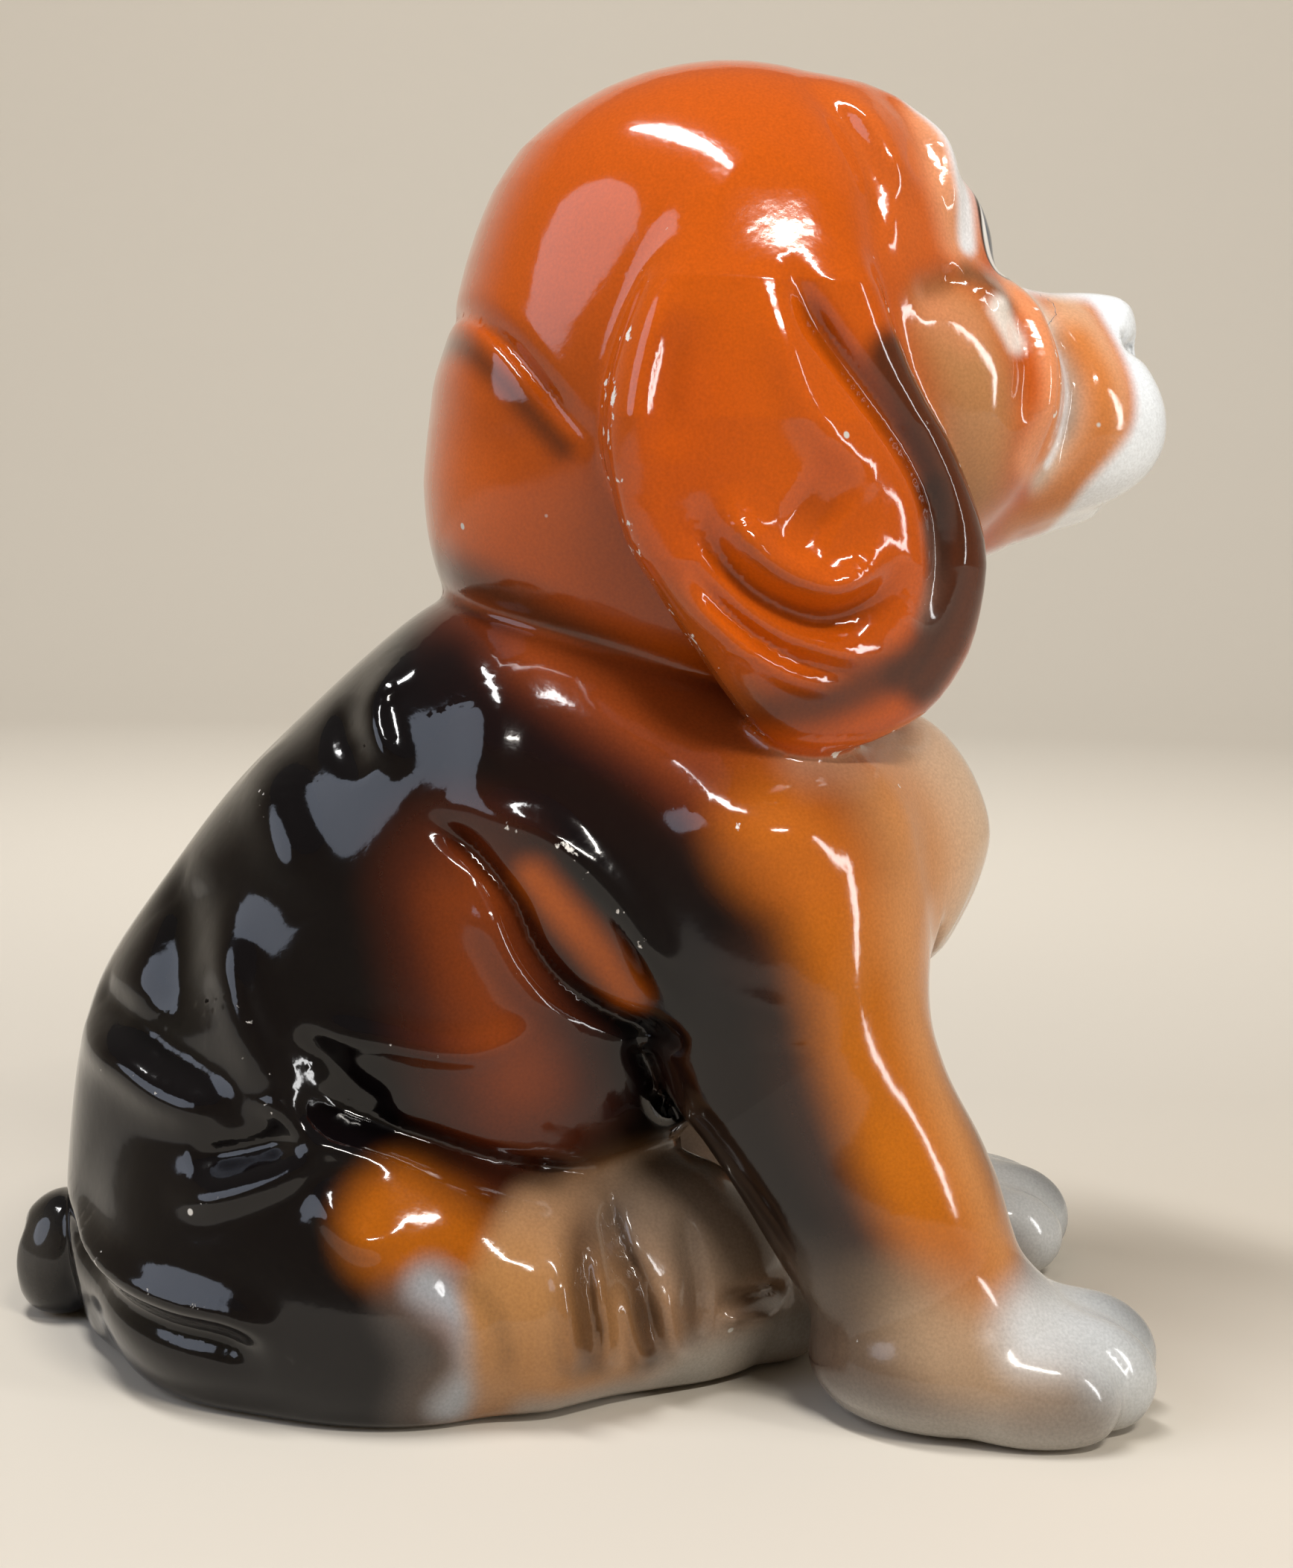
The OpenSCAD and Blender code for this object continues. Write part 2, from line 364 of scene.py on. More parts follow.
@dataclass(frozen=True)
class Spray:
    """One pass of the airbrush, along a line in the side view or on one place, in millimetres."""

    colour: str
    path: Sequence[Spot2]
    radius: float
    soft: float
    strength: float = 1.0
    depth: float = 0.0
    outside: float = 0.0
    inside: float = FAR
    edge: float = 6.0

    def cover(self, p: Array, line: Array) -> Array:
        """How much of the colour lies on each place, from 0 to 1.

        Args:
            p: N x 3 places in the part's own frame.
            line: M x 2 places along the spray.

        Returns:
            The shares of the colour.
        """
        gap = to_line(p[:, 1], p[:, 2], line)[0]
        side = np.abs(p[:, 0])
        mask = 1 - smooth(gap, self.radius - self.soft, self.radius + self.soft)
        if self.outside > 0:
            mask = mask * smooth(side, self.outside - self.edge, self.outside + self.edge)
        if self.inside < FAR:
            mask = mask * (1 - smooth(side, self.inside - self.edge, self.inside + self.edge))
        return mask * self.strength


# ------------------------------------------------------------------ sub-assemblies

@dataclass
class Casting:
    """A part of the figurine that is modelled, marked and sprayed on its own."""

    lumps: tuple[Lump | Limb, ...] = ()
    strokes: tuple[Stroke, ...] = ()
    sprays: tuple[Spray, ...] = ()
    turned: float = 0.0

    def __post_init__(self) -> None:
        """Lays out the lines of the strokes and sprays once."""
        self.stroke_lines = [to_side(s.path, s.depth, self.turned) for s in self.strokes]
        self.spray_lines = [to_side(s.path, s.depth, self.turned) for s in self.sprays]

    def own(self, p: Array) -> Array:
        """Turns places into the part's own frame."""
        return turn(p, -self.turned) if self.turned else p

    def relief(self, q: Array) -> Array:
        """Height of all the strokes at places in the part's own frame.

        Args:
            q: N x 3 places in the part's own frame.

        Returns:
            The heights.
        """
        raised = np.zeros(len(q))
        for stroke, line in zip(self.strokes, self.stroke_lines):
            raised += stroke.height_at(q, line)
        return raised

    def shape(self, q: Array) -> Array:
        """Signed distance to the bare form, before any stroke.

        Args:
            q: N x 3 places in the part's own frame.

        Returns:
            The signed distances.
        """
        half = q.copy()
        half[:, 0] = np.sqrt(q[:, 0] ** 2 + 1.0) - 0.5
        return build_up(half, self.lumps)

    def field(self, p: Array) -> Array:
        """Signed distance to the skin, with its strokes."""
        q = self.own(p)
        return self.shape(q) - self.relief(q)

    def paint(self, p: Array, colours: Array) -> Array:
        """Sprays the part's colours over what is there.

        Args:
            p: N x 3 places on the skin.
            colours: N x 3 linear colours so far.

        Returns:
            The new colours.
        """
        q = self.own(p)
        for spray, line in zip(self.sprays, self.spray_lines):
            cover = spray.cover(q, line)[:, None]
            colours = colours * (1 - cover) + np.array(linear(spray.colour)) * cover
        return colours


@dataclass
class Torso(Casting):
    """Body, haunches and chest, with the folds of loose puppy skin."""

    lumps: tuple[Lump | Limb, ...] = (
        Lump((0, 29, 14), (30, 33, 29), 8),
        Lump((0, 27, 34), (33, 33, 29), 10),
        Lump((0, 11, 56), (31, 35, 27), 12),
        Lump((0, 2, 72), (26, 26, 20), 12),
        Lump((0, -18, 58), (24, 31, 18), 10),
        Lump((0, 4, 40), (32, 24, 20), 10),
        Lump((16, -12, 60), (17, 25, 19), 8),
        Lump((21, -24, 52), (17, 17, 22), 7),
        Lump((22, 24, 13), (19, 28, 22), 6),
        Lump((30, 18, 10), (12, 15, 14), 6),
        Lump((7, -40, 62), (10, 11, 15), 8),
    )
    strokes: tuple[Stroke, ...] = (
        # rolls of skin behind the shoulder
        Stroke([(17.8, 84), (21.8, 79.1), (21.1, 74.4), (17.7, 70.4)], Mark.RIDGE, 1.9, 1.3, 8, 0.35),
        Stroke([(25.5, 79), (25, 74), (21.5, 70.5)], Mark.GROOVE, 2.2, 1.0, 8, 0.4),
        Stroke([(34, 75), (34.1, 67.4), (30.1, 59.5), (27.5, 55)], Mark.RIDGE, 3.6, 1.4, 8, 0.4),
        Stroke([(13, 84), (9, 80), (9, 72), (12, 66)], Mark.RIDGE, 3.5, 1.0, 10, 0.4),
        Stroke([(16.2, 66.6), (10.3, 62.8), (5.7, 57.6), (3.0, 51.8), (-1, 47.4), (-6.9, 44), (-14.3, 41.6)],
               Mark.GROOVE, 1.5, 1.9, 10, 0.16),
        Stroke([(13, 69), (8, 66.8), (2, 64.8), (-3.0, 61.2), (-7.5, 56), (-10.8, 50.2), (-13.3, 45.6)],
               Mark.RIDGE, 2.3, 1.6, 10, 0.25),
        Stroke([(10, 59.5), (7.5, 54), (3.5, 48), (-2, 43.5)], Mark.RIDGE, 2.4, 1.3, 10, 0.3),
        # pocket behind the elbow
        Stroke([(-7.4, 42.6), (-10, 38.3), (-12, 33), (-14.5, 29.6)], Mark.GROOVE, 1.6, 1.8, 14, 0.25),
        # creases of the rump, fanning out over the haunch
        Stroke([(42, 60), (43.2, 52), (43.4, 45), (40, 38.2)], Mark.GROOVE, 4.4, 2.3, 9, 0.35),
        Stroke([(40.5, 56), (37.3, 48.8), (34.6, 42.2), (30.6, 36.6), (25.5, 33.6)],
               Mark.RIDGE, 3.0, 1.7, 8, 0.3),
        Stroke([(58, 41.5), (49.6, 38.8), (43.6, 36.4), (34.6, 35.6)], Mark.FOLD, 3.4, 1.7, 9, 0.3),
        Stroke([(30, 43.9), (24.3, 42.6), (19.1, 41.7), (13, 40.8), (7.4, 41.3), (0.9, 45.4)],
               Mark.RIDGE, 1.8, 1.1, 12, 0.25),
        Stroke([(29.6, 43), (26.4, 39.4), (22, 35.8), (16.5, 33)], Mark.GROOVE, 2.2, 1.5, 12, 0.3),
        Stroke([(36.4, 34.6), (30.8, 34.2), (26.4, 31.6), (15.7, 29)], Mark.RIDGE, 1.6, 0.9, 10, 0.3),
        Stroke([(23.3, 31.4), (29.5, 27.8), (36.4, 25.2), (44, 23.4)], Mark.RIDGE, 2.0, 1.2, 10, 0.3),
        Stroke([(28, 31.2), (34, 29.4), (41, 27.6)], Mark.GROOVE, 1.6, 1.3, 10, 0.3),
        Stroke([(29, 38), (23, 33), (15.1, 30.5), (7.2, 27.6), (0, 25.6), (-4.4, 25.6)],
               Mark.GROOVE, 1.9, 2.2, 10, 0.2),
        # ledge of the seat, and the knee
        Stroke([(60, 18.5), (54.8, 14.9), (48.8, 12.9), (42, 11.7), (35.2, 11.1), (29.4, 9.1)],
               Mark.FOLD, 2.6, -1.6, 8, 0.2),
        Stroke([(15.7, 20), (11.6, 17.3), (7.2, 14.7), (5, 10), (5.3, 2.5)], Mark.GROOVE, 2.2, 1.2, 12, 0.3),
        Stroke([(27, 27.4), (24.4, 24.2), (21, 21.8), (16, 21.0)], Mark.RIDGE, 1.9, 1.0, 12, 0.35),
        # shoulder, and the foreleg's muscles
        Stroke([(-9, 66), (-18, 66.8), (-31, 64.3)], Mark.RIDGE, 4.0, 1.2, 12, 0.4),
        Stroke([(-31, 78), (-36, 72), (-38, 66), (-36, 60)], Mark.RIDGE, 3.4, 1.3, 10, 0.4),
        # chest
        Stroke([(-41.4, 70), (-44.4, 64.8), (-44.5, 58.2), (-42.4, 50.5)],
               Mark.GROOVE, 2.2, 1.5, 1, 0.3, 0, 13),
        Stroke([(-39, 60), (-40.4, 54), (-40.3, 42.6)], Mark.GROOVE, 2.4, 2.2, 6, 0.3, 0, 18),
    )
    sprays: tuple[Spray, ...] = (
        Spray("#080506", [(60, 10), (50, 50), (20, 80)], 60, 10),
        # shoulder cape in umber, with a black band across it
        Spray("#642a12", [(6, 92), (-3, 83), (-14, 76), (-24, 69)], 11, 5, 0.97),
        Spray("#8e4018", [(2, 86), (-10, 79), (-22, 72)], 4.4, 4, 0.85, 0, 8),
        Spray("#0d0506", [(14, 82), (10, 78), (1.6, 72.4), (-7, 66.6), (-15.7, 58.2), (-21, 51.5)],
              4.8, 4, 0.94, 0, 8),
        # rust showing through on the flank
        Spray("#4e200e", [(11, 59), (7.8, 45), (4, 33)], 8, 6, 0.95, 0, 12),
        Spray("#78340f", [(11, 57), (7.8, 46), (4.2, 37)], 3.8, 4.2, 0.8, 0, 14),
        Spray("#a8500f", [(3.1, 60.2), (-2.9, 53.6), (-7.4, 47.5)], 2.0, 2.0, 0.8, 0, 12),
        # thigh and knee
        Spray("#9c5209", [(17.5, 23), (12, 19.5), (6, 14), (2, 8)], 5.4, 3.2, 0.95, 0, 14),
        Spray("#97683c", [(5, 2), (-4.5, 9), (-8, 18)], 7.5, 5, 0.92, 0, 10),
        Spray("#4c443f", [(16, 15), (13.5, 9), (15, 2)], 3.0, 2.4, 0.7, 0, 18),
        Spray("#8f9296", [(13.5, 17), (9.2, 13.2), (8, 7.6), (11, 3)], 2.2, 2.0, 0.95, 0, 18),
        # front of the shoulder and chest
        Spray("#b4601a", [(-24, 66), (-29, 61), (-32, 54)], 6.6, 5, 0.92, 0, 10),
        Spray("#c48550", [(-37, 76), (-42, 62), (-38, 46)], 7, 4.5, 0.95),
        Spray("#ccae92", [(-42, 78), (-47, 68), (-48, 60), (-43, 46)], 7, 4.5, 0.95, 0, 0, 20),
        Spray("#b08a70", [(-27, 74), (-32, 74)], 3.0, 3, 0.6, 0, 10),
    )


@dataclass
class Forelegs(Casting):
    """Forelegs and paws, straight in front and leaning forward to the paws."""

    lumps: tuple[Lump | Limb, ...] = (
        Limb((24, -25, 50), (29, -37, 24), 13.5, 10.8, 8),
        Limb((29, -37, 24), (30, -44, 10), 10.8, 11.0, 6),
        Limb((27.5, -20.5, 37), (29.5, -33, 19.5), 7.6, 7.2, 5),
        Lump((30, -46, 6.5), (14.3, 17.5, 9.0), 5),
        Lump((21.5, -56.5, 5.5), (5.4, 9.6, 6.6), 2),
        Lump((28.2, -58.6, 6.2), (5.2, 9.4, 7.6), 2),
        Lump((35.2, -57.2, 5.8), (5.2, 9.4, 7.2), 2),
        Lump((40.6, -53.0, 4.8), (4.4, 8.6, 6.0), 2),
    )
    strokes: tuple[Stroke, ...] = (
        Stroke([(-13.3, 47.9), (-20, 47.6), (-27, 45.5)], Mark.RIDGE, 2.0, 0.9, 14, 0.35),
        Stroke([(-18.6, 42), (-24, 42.3), (-28.8, 43)], Mark.RIDGE, 1.6, 0.7, 14, 0.35),
        Stroke([(-26, 60), (-29, 46), (-35, 32)], Mark.RIDGE, 4.5, 0.9, 20, 0.4),
    )
    sprays: tuple[Spray, ...] = (
        Spray("#3a2015", [(-14, 52), (-24, 34), (-33, 10)], 18, 8, 1.0),
        Spray("#120b09", [(-10, 52), (-16, 44), (-19, 34), (-24, 24), (-28, 16)], 6.6, 4.2, 0.97),
        Spray("#b0600f", [(-29.7, 66), (-31.7, 50.6), (-35, 39.6), (-39.4, 29.4), (-45, 18)], 5.8, 3.8, 0.97),
        Spray("#c98a52", [(-38.5, 56), (-39, 46), (-43.6, 33), (-49, 20)], 2.0, 2.6, 0.7),
        Spray("#a08468", [(-38, 13), (-46, 10), (-50, 9)], 6.4, 5, 0.9),
        Spray("#57483c", [(-30, 15), (-33, 6)], 5, 5, 0.8),
        Spray("#a8a39a", [(-34, -1), (-50, -1), (-60, 0)], 5.5, 4.0, 0.9),
        Spray("#c4c6c6", [(-52, 13), (-58, 12), (-65, 6)], 4.0, 3.5, 0.85),
        Spray("#6b5c50", [(-52, 5), (-58, 4)], 3.0, 3, 0.5),
    )


@dataclass
class HindFeet(Casting):
    """Hind feet, running forward and inward from the haunches, with wrinkled ankles."""

    lumps: tuple[Lump | Limb, ...] = (
        Limb((28, 4, 11), (15, -14, 10), 13.0, 11.5, 6),
        Lump((15, -9, 11), (13, 16, 14.8), 6),
        Limb((14, -14, 7.5), (8.5, -25, 5.5), 9.5, 7.0, 5),
        Lump((6.2, -25.5, 4.5), (4.6, 7.5, 6.2), 2),
        Lump((13.4, -23.6, 5.0), (4.8, 7.5, 6.6), 2),
    )
    strokes: tuple[Stroke, ...] = (
        Stroke([(-0.3, 20.6), (-1.6, 12), (-2.3, 4.4)], Mark.RIDGE, 1.6, 1.3, 6, 0.3),
        Stroke([(-4.2, 20.4), (-5.2, 12), (-6.3, 4.1)], Mark.RIDGE, 1.4, 1.4, 6, 0.3),
        Stroke([(-7.8, 16.3), (-9, 10), (-10.3, 3.5)], Mark.RIDGE, 1.4, 1.3, 6, 0.3),
        Stroke([(-12.3, 15.8), (-13.2, 9), (-14.4, 3.8)], Mark.RIDGE, 1.4, 1.1, 6, 0.3),
        Stroke([(-5, 24), (-6.6, 19), (-9.4, 13.4), (-10.9, 6)], Mark.GROOVE, 1.2, 1.7, 6, 0.25),
        Stroke([(-2.6, 20), (-4, 13.9), (-5.4, 6.7)], Mark.GROOVE, 1.0, 1.2, 6, 0.3),
        Stroke([(-13.4, 21.5), (-15.4, 14.6), (-15.8, 6.9)], Mark.GROOVE, 1.2, 1.1, 6, 0.3),
        Stroke([(-18, 10.4), (-22, 10.2), (-26.6, 9)], Mark.FOLD, 1.4, 1.3, 4, 0.3),
    )
    sprays: tuple[Spray, ...] = (
        Spray("#8f7056", [(4, 12), (-12, 12), (-26, 8)], 22, 6),
        Spray("#a07040", [(6, 14), (0, 10)], 9, 6, 0.9),
        # painted shade: dark lines laid along the grooves of the wrinkled ankles
        Spray("#3c2a20", [(-3, 20), (-4, 8)], 2.2, 2.0, 0.75),
        Spray("#2c1c14", [(-6.8, 21), (-9.4, 13.4), (-10.9, 6)], 1.6, 1.6, 0.8),
        Spray("#4a382c", [(-14.4, 20), (-15.6, 8)], 1.3, 1.4, 0.6),
        Spray("#77685a", [(-10, 24), (-20, 16)], 5, 4, 0.7),
        Spray("#a09c94", [(-16, 3), (-30, 5)], 4, 3, 0.8),
        Spray("#9a9791", [(2, 1), (-16, 1)], 2.4, 2, 0.7),
    )


@dataclass
class Tail(Casting):
    """Short leaf of a tail, pressed flat to the rump."""

    lumps: tuple[Lump | Limb, ...] = (Lump((0, 62.6, 7.2), (7.0, 6.3, 8.2), 3),)
    strokes: tuple[Stroke, ...] = (
        Stroke([(66, 13), (68.5, 7), (68, 3)], Mark.GROOVE, 1.4, 0.8, -6, 0.3, 0, 2),)
    sprays: tuple[Spray, ...] = (Spray("#3d3a36", [(66, 10), (67, 3)], 4, 3, 0.6),)


@dataclass
class Head(Casting):
    """Head with its heavy brow, muzzle, cheeks and the roll of skin at the nape."""

    lumps: tuple[Lump | Limb, ...] = (
        Lump((0, -7.6, 105), (27.5, 27.6, 27), 8),
        Lump((0, -16.4, 126), (32.5, 31.4, 28.5), 10),
        Lump((0, -20, 92), (24, 21, 17), 8),
        Lump((11, -30.6, 138), (12, 9.8, 12), 5),
        Lump((0, -49, 120), (12.5, 21, 10.5), 7),
        Lump((0, -44, 105), (13, 18, 9.5), 8),
        Lump((15, -38, 114), (13, 15, 15), 7),
        Lump((8.5, -56, 112), (9.5, 14.5, 11), 5),
        Lump((0, -63.5, 125.2), (7.2, 7.0, 5.4), 3.0),
        Lump((0, -59.5, 101.4), (7.5, 9, 5.2), 4),
        Lump((14.6, -41.0, 133.2), (5.4, 4.4, 6.2), 1.8),
    )
    strokes: tuple[Stroke, ...] = (
        # crease of the nape, and the roll below it
        Stroke([(13.6, 126), (12.1, 124.1), (7.9, 119), (3.5, 112.7), (-1.2, 106.2)],
               Mark.GROOVE, 1.2, 1.25, -8, 0.35, -20),
        Stroke([(16, 121), (11, 114), (6, 107.5)], Mark.RIDGE, 4.0, 0.6, -8, 0.4, -20),
        # wrinkles of the brow
        Stroke([(-25, 149), (-29.2, 144), (-31.6, 138), (-32.6, 132), (-34, 126)],
               Mark.GROOVE, 1.9, 1.0, 8, 0.35, -24),
        Stroke([(-28.5, 148.5), (-32.6, 144.2), (-35.2, 139), (-37.2, 134.4)],
               Mark.RIDGE, 1.8, 0.9, 6, 0.35, -22),
        Stroke([(-32.5, 149.5), (-36.8, 145.6), (-38.6, 140.6), (-39.2, 135)],
               Mark.GROOVE, 1.7, 0.8, 5, 0.35, -20),
        # brow over the eye, tucked in below
        Stroke([(-38, 146.8), (-41, 142.6), (-41.8, 137.6), (-42.2, 131.4)],
               Mark.RIDGE, 1.7, 1.3, 7, 0.35, -13),
        Stroke([(-36, 124.6), (-40.4, 126.2), (-43.4, 128.4)], Mark.GROOVE, 2.2, 1.2, 9, 0.35, -20),
        # lower lid
        Stroke([(-43.2, 127.2), (-46.4, 125.8), (-48.6, 122.8)], Mark.RIDGE, 1.5, 0.8, 8, 0.35, -15),
        # roll of skin on the cheek, and the groove behind the lip
        Stroke([(-49, 129.6), (-52.2, 125.4), (-53.8, 119.6), (-53.2, 112.8), (-51.2, 107)],
               Mark.RIDGE, 2.3, 1.6, 5, 0.3, -12),
        Stroke([(-48, 125), (-49.6, 121), (-50.0, 116), (-48.4, 110)], Mark.GROOVE, 1.6, 1.0, 9, 0.35, -16),
        Stroke([(-53.4, 127), (-56.6, 121.8), (-58.0, 117.1), (-57.3, 111.3), (-54.8, 105.6)],
               Mark.GROOVE, 1.9, 1.5, 4, 0.3, -10),
        Stroke([(-65.8, 122.6), (-68.2, 121.8), (-71, 122)], Mark.GROOVE, 1.3, 1.2, -8, 0.3, -8),
    )
    sprays: tuple[Spray, ...] = (
        Spray("#b9500e", [(0, 120)], 90, 10),
        Spray("#8c3d0a", [(2, 112), (-6, 96), (-16, 88)], 8, 7, 0.7, -30, 8),
        Spray("#cc6a34", [(20, 112), (16, 100)], 5, 5, 0.6, -20),
        # painted shade: a dark line along the crease of the nape
        Spray("#45210f", [(17, 124), (13, 120), (8.5, 114.5), (2, 107)], 1.2, 1.4, 0.8, -22),
        Spray("#3d2a1e", [(19, 95), (10, 92), (-2, 86), (-14, 79)], 2.4, 2.4, 0.85, -27),
        # face, paler towards the blaze, with painted highlights on the brow, under the eye and on the cheek
        Spray("#c25f26", [(-34, 144), (-38, 132), (-40, 116)], 6.5, 5, 0.6, -22),
        Spray("#d99a72", [(-40, 146), (-41.5, 138), (-43, 132)], 3.0, 2.4, 0.85, -15),
        Spray(SLIP_WHITE_AND_HIGHLIGHT, [(-42, 150), (-45.6, 143), (-46.4, 136), (-50, 131)], 3.1, 1.0, 0.95, -8, 0, 18),
        # painted highlight: a thin white line along the crest of the brow ridge
        Spray(SLIP_WHITE_AND_HIGHLIGHT, [(-38.2, 148.4), (-41.6, 143.8), (-43, 138), (-43.7, 131.4)],
              1.3, 0.8, 0.9, -14),
        # painted shade: darker brown in the groove under the brow
        Spray("#8a4a22", [(-37, 124.6), (-41, 126.2)], 1.6, 2.0, 0.6, -20),
        Spray("#b07f52", [(-42, 121), (-44.5, 113), (-45, 104)], 5.0, 4, 0.9, -20),
        Spray("#c9835a", [(-39, 123), (-43, 121)], 2.4, 2.4, 0.7, -20),
        Spray("#6a4a30", [(-43.2, 127.8), (-46.6, 126.6), (-48.6, 124.6)], 1.3, 1.2, 0.8, -15, 6),
        # painted highlight: a white spot below the lower lid
        Spray("#ece6de", [(-47.2, 123.9), (-49.2, 120.4)], 1.5, 1.0, 0.9, -16, 6),
        Spray("#dd9062", [(-50.6, 127), (-53.4, 122), (-54.2, 114), (-51.8, 107.4)], 2.6, 1.4, 0.9, -12),
        Spray("#c8b9aa", [(-53.8, 127), (-57.2, 121.8), (-58.6, 116.6), (-57.4, 110.4), (-54.4, 105)],
              1.7, 1.4, 0.9, -10),
        # painted highlight: a thin white line along the edge of the cheek roll
        Spray(SLIP_WHITE_AND_HIGHLIGHT, [(-50.6, 130), (-54.2, 126), (-56.2, 121), (-56.9, 115.5), (-56.2, 110.5),
                           (-54.4, 107)], 0.55, 0.5, 0.9, -9),
        # muzzle, white at the nose and lips
        Spray("#d4a27c", [(-60, 126), (-62, 114), (-58, 103)], 3.4, 2.4, 0.95, -9),
        Spray("#c27436", [(-59.4, 121.6), (-61.4, 116), (-61.2, 110), (-57.6, 104), (-53, 100)],
              2.2, 2.0, 0.9, -9),
        Spray(SLIP_WHITE_AND_HIGHLIGHT, [(-70.4, 128), (-72.6, 116), (-71.2, 108), (-66, 101)], 7.2, 1.1, 1.0, -6),
        Spray(SLIP_WHITE_AND_HIGHLIGHT, [(-64, 98.5), (-57, 95.5), (-50, 93)], 3.0, 1.2, 0.95, -6),
        Spray(SLIP_WHITE_AND_HIGHLIGHT, [(-52, 131.6), (-60, 131.2), (-68, 130)], 3.6, 1.4, 0.95, -3, 0, 12),
    )
    turned: float = HEAD_TURN


@dataclass
class EarFlaps(Casting):
    """Long ears: flat leaves of clay with a rolled rim, hanging beside the head."""

    outline: Sequence[Spot2] = (
        (-15, 142), (-22.5, 137), (-26.5, 128.5), (-31.5, 116), (-37.2, 107), (-41.2, 98), (-41.2, 90),
        (-39.2, 83.5), (-35.4, 78.4), (-29, 75.2), (-22.5, 74), (-17.5, 75.2), (-13, 79.6), (-8.8, 85),
        (-4.6, 90.8), (-0.7, 97), (1.2, 105), (1.2, 113.5), (-0.8, 121), (-5, 131), (-10, 139), (-15, 142))
    thickness: float = 9.0
    rim: float = 3.2
    bulge: float = 0.011
    fullest: Sequence[Spot2] = ((76, 34.5), (85, 38.5), (95, 40), (110, 39.5), (125, 36.5), (135, 32.0),
                                (146, 26))
    strokes: tuple[Stroke, ...] = (
        Stroke([(-23.2, 127.6), (-26.6, 121), (-30.8, 115.4), (-34.7, 110.6), (-38.2, 106), (-40.7, 101),
                (-41.4, 95), (-39.6, 88.5)], Mark.GROOVE, 1.8, 2.2, 9, 0.2, -38),
        Stroke([(-21.5, 127), (-22.5, 119), (-25.5, 111), (-31, 105.5), (-36, 102)],
               Mark.RIDGE, 2.6, 1.4, 9, 0.35, -38),
        Stroke([(-15.5, 103), (-17, 97.5), (-21.4, 93), (-28, 90.7), (-33.5, 92.5), (-37, 97)],
               Mark.FOLD, 2.5, -2.0, 9, 0.3, -40),
        Stroke([(-13, 98.5), (-16.5, 93), (-22.5, 88.4), (-29.5, 85.6), (-37, 84.6)],
               Mark.RIDGE, 1.5, 1.1, 9, 0.3, -40),
        Stroke([(-11.5, 93), (-17, 87.2), (-25, 82.6), (-33.6, 80.8)], Mark.RIDGE, 1.4, 1.0, 9, 0.3, -39),
        Stroke([(-12.5, 95.2), (-17, 90), (-23.6, 85.4), (-33, 83)], Mark.GROOVE, 1.2, 1.2, 9, 0.3, -39),
        Stroke([(-10, 127), (-8, 118), (-6.3, 110), (-6.3, 102)], Mark.RIDGE, 2.0, 1.1, 9, 0.35, -36),
        Stroke([(-13, 122), (-11, 113), (-11, 105)], Mark.GROOVE, 3.0, 1.0, 9, 0.35, -36),
        Stroke([(-24, 103), (-30, 99)], Mark.GROOVE, 5.0, 1.2, 9, 0.35, -40),
    )
    sprays: tuple[Spray, ...] = (
        Spray("#b9500a", [(-18, 110)], 90, 10),
        Spray("#a8420a", [(-12, 112), (-12, 98)], 6, 6, 0.5, -38),
        Spray("#43200f", [(-35.6, 117), (-40, 109.6), (-44, 103), (-46.2, 97), (-45, 90), (-41, 82.4)],
              3.2, 1.6, 0.95, -38),
        Spray("#8a8078", [(-41, 99), (-41.8, 94.5), (-40.4, 89)], 1.2, 1.2, 0.6, -40),
        Spray("#ddd6cf", [(-41.6, 109.6), (-44.6, 104.6), (-47.2, 99.4), (-48, 94), (-46.6, 88)],
              0.6, 0.5, 0.9, -38, 37.5, 99, 1.5),
        Spray("#24140c", [(-40.5, 103), (-42.6, 97), (-41.6, 90), (-37, 83)], 1.6, 1.6, 0.8, -38),
        Spray("#43200f", [(-36, 83), (-28, 79.6), (-20, 79)], 2.6, 2.4, 0.85, -38),
        Spray("#8a4a20", [(-10, 90), (-14, 84.5), (-19, 80)], 2.2, 2.2, 0.7, -38),
    )
    turned: float = HEAD_TURN

    def __post_init__(self) -> None:
        """Lays out the lines, the ear's edge included."""
        super().__post_init__()
        self.edge_line = curve(self.outline, 3)

    def shape(self, q: Array) -> Array:
        """Signed distance to the two leaves, rounded at the rim.

        Args:
            q: N x 3 places in the part's own frame.

        Returns:
            The signed distances.
        """
        side = np.abs(q[:, 0])
        flat = np.full(len(q), UNSHAPED)
        near = np.flatnonzero((side > 12) & (side < 52) & (q[:, 1] > -50) & (q[:, 1] < 12)
                              & (q[:, 2] > 66) & (q[:, 2] < 152))
        if not len(near):
            return flat
        x, y, z = side[near], q[near, 1], q[near, 2]
        heights, widths = zip(*self.fullest)
        outer = np.interp(z, heights, widths) - self.bulge * (y + 17) ** 2
        across = np.abs(x - outer + self.thickness / 2) - self.thickness / 2 + self.rim
        around = inside_outline(y, z, self.edge_line) + self.rim
        flat[near] = (np.minimum(np.maximum(across, around), 0)
                      + np.hypot(np.maximum(across, 0), np.maximum(around, 0)) - self.rim)
        return flat


# ------------------------------------------------------------------ the whole figurine

@dataclass(frozen=True)
class Joint:
    """A flat joint face between two castings, kept to a box and behind other planes."""

    point: Spot3
    normal: Spot3
    low: Spot3
    high: Spot3
    under: tuple[Spot3, Spot3] | None = None

    def height(self, p: Array) -> Array:
        """Signed distance of places from the joint's plane."""
        n = np.array(self.normal) / np.linalg.norm(self.normal)
        return (p - np.array(self.point)) @ n

    def holds(self, p: Array, slack: float = 0.0) -> Array:
        """Whether places lie in the joint's box, and under its other plane if it has one.

        Args:
            p: N x 3 places, in millimetres.
            slack: how far outside the box still counts.

        Returns:
            True where a place is held.
        """
        kept = np.all((p > np.array(self.low) - slack) & (p < np.array(self.high) + slack), axis=1)
        if self.under:
            kept &= (p - np.array(self.under[0])) @ np.array(self.under[1]) < slack
        return kept


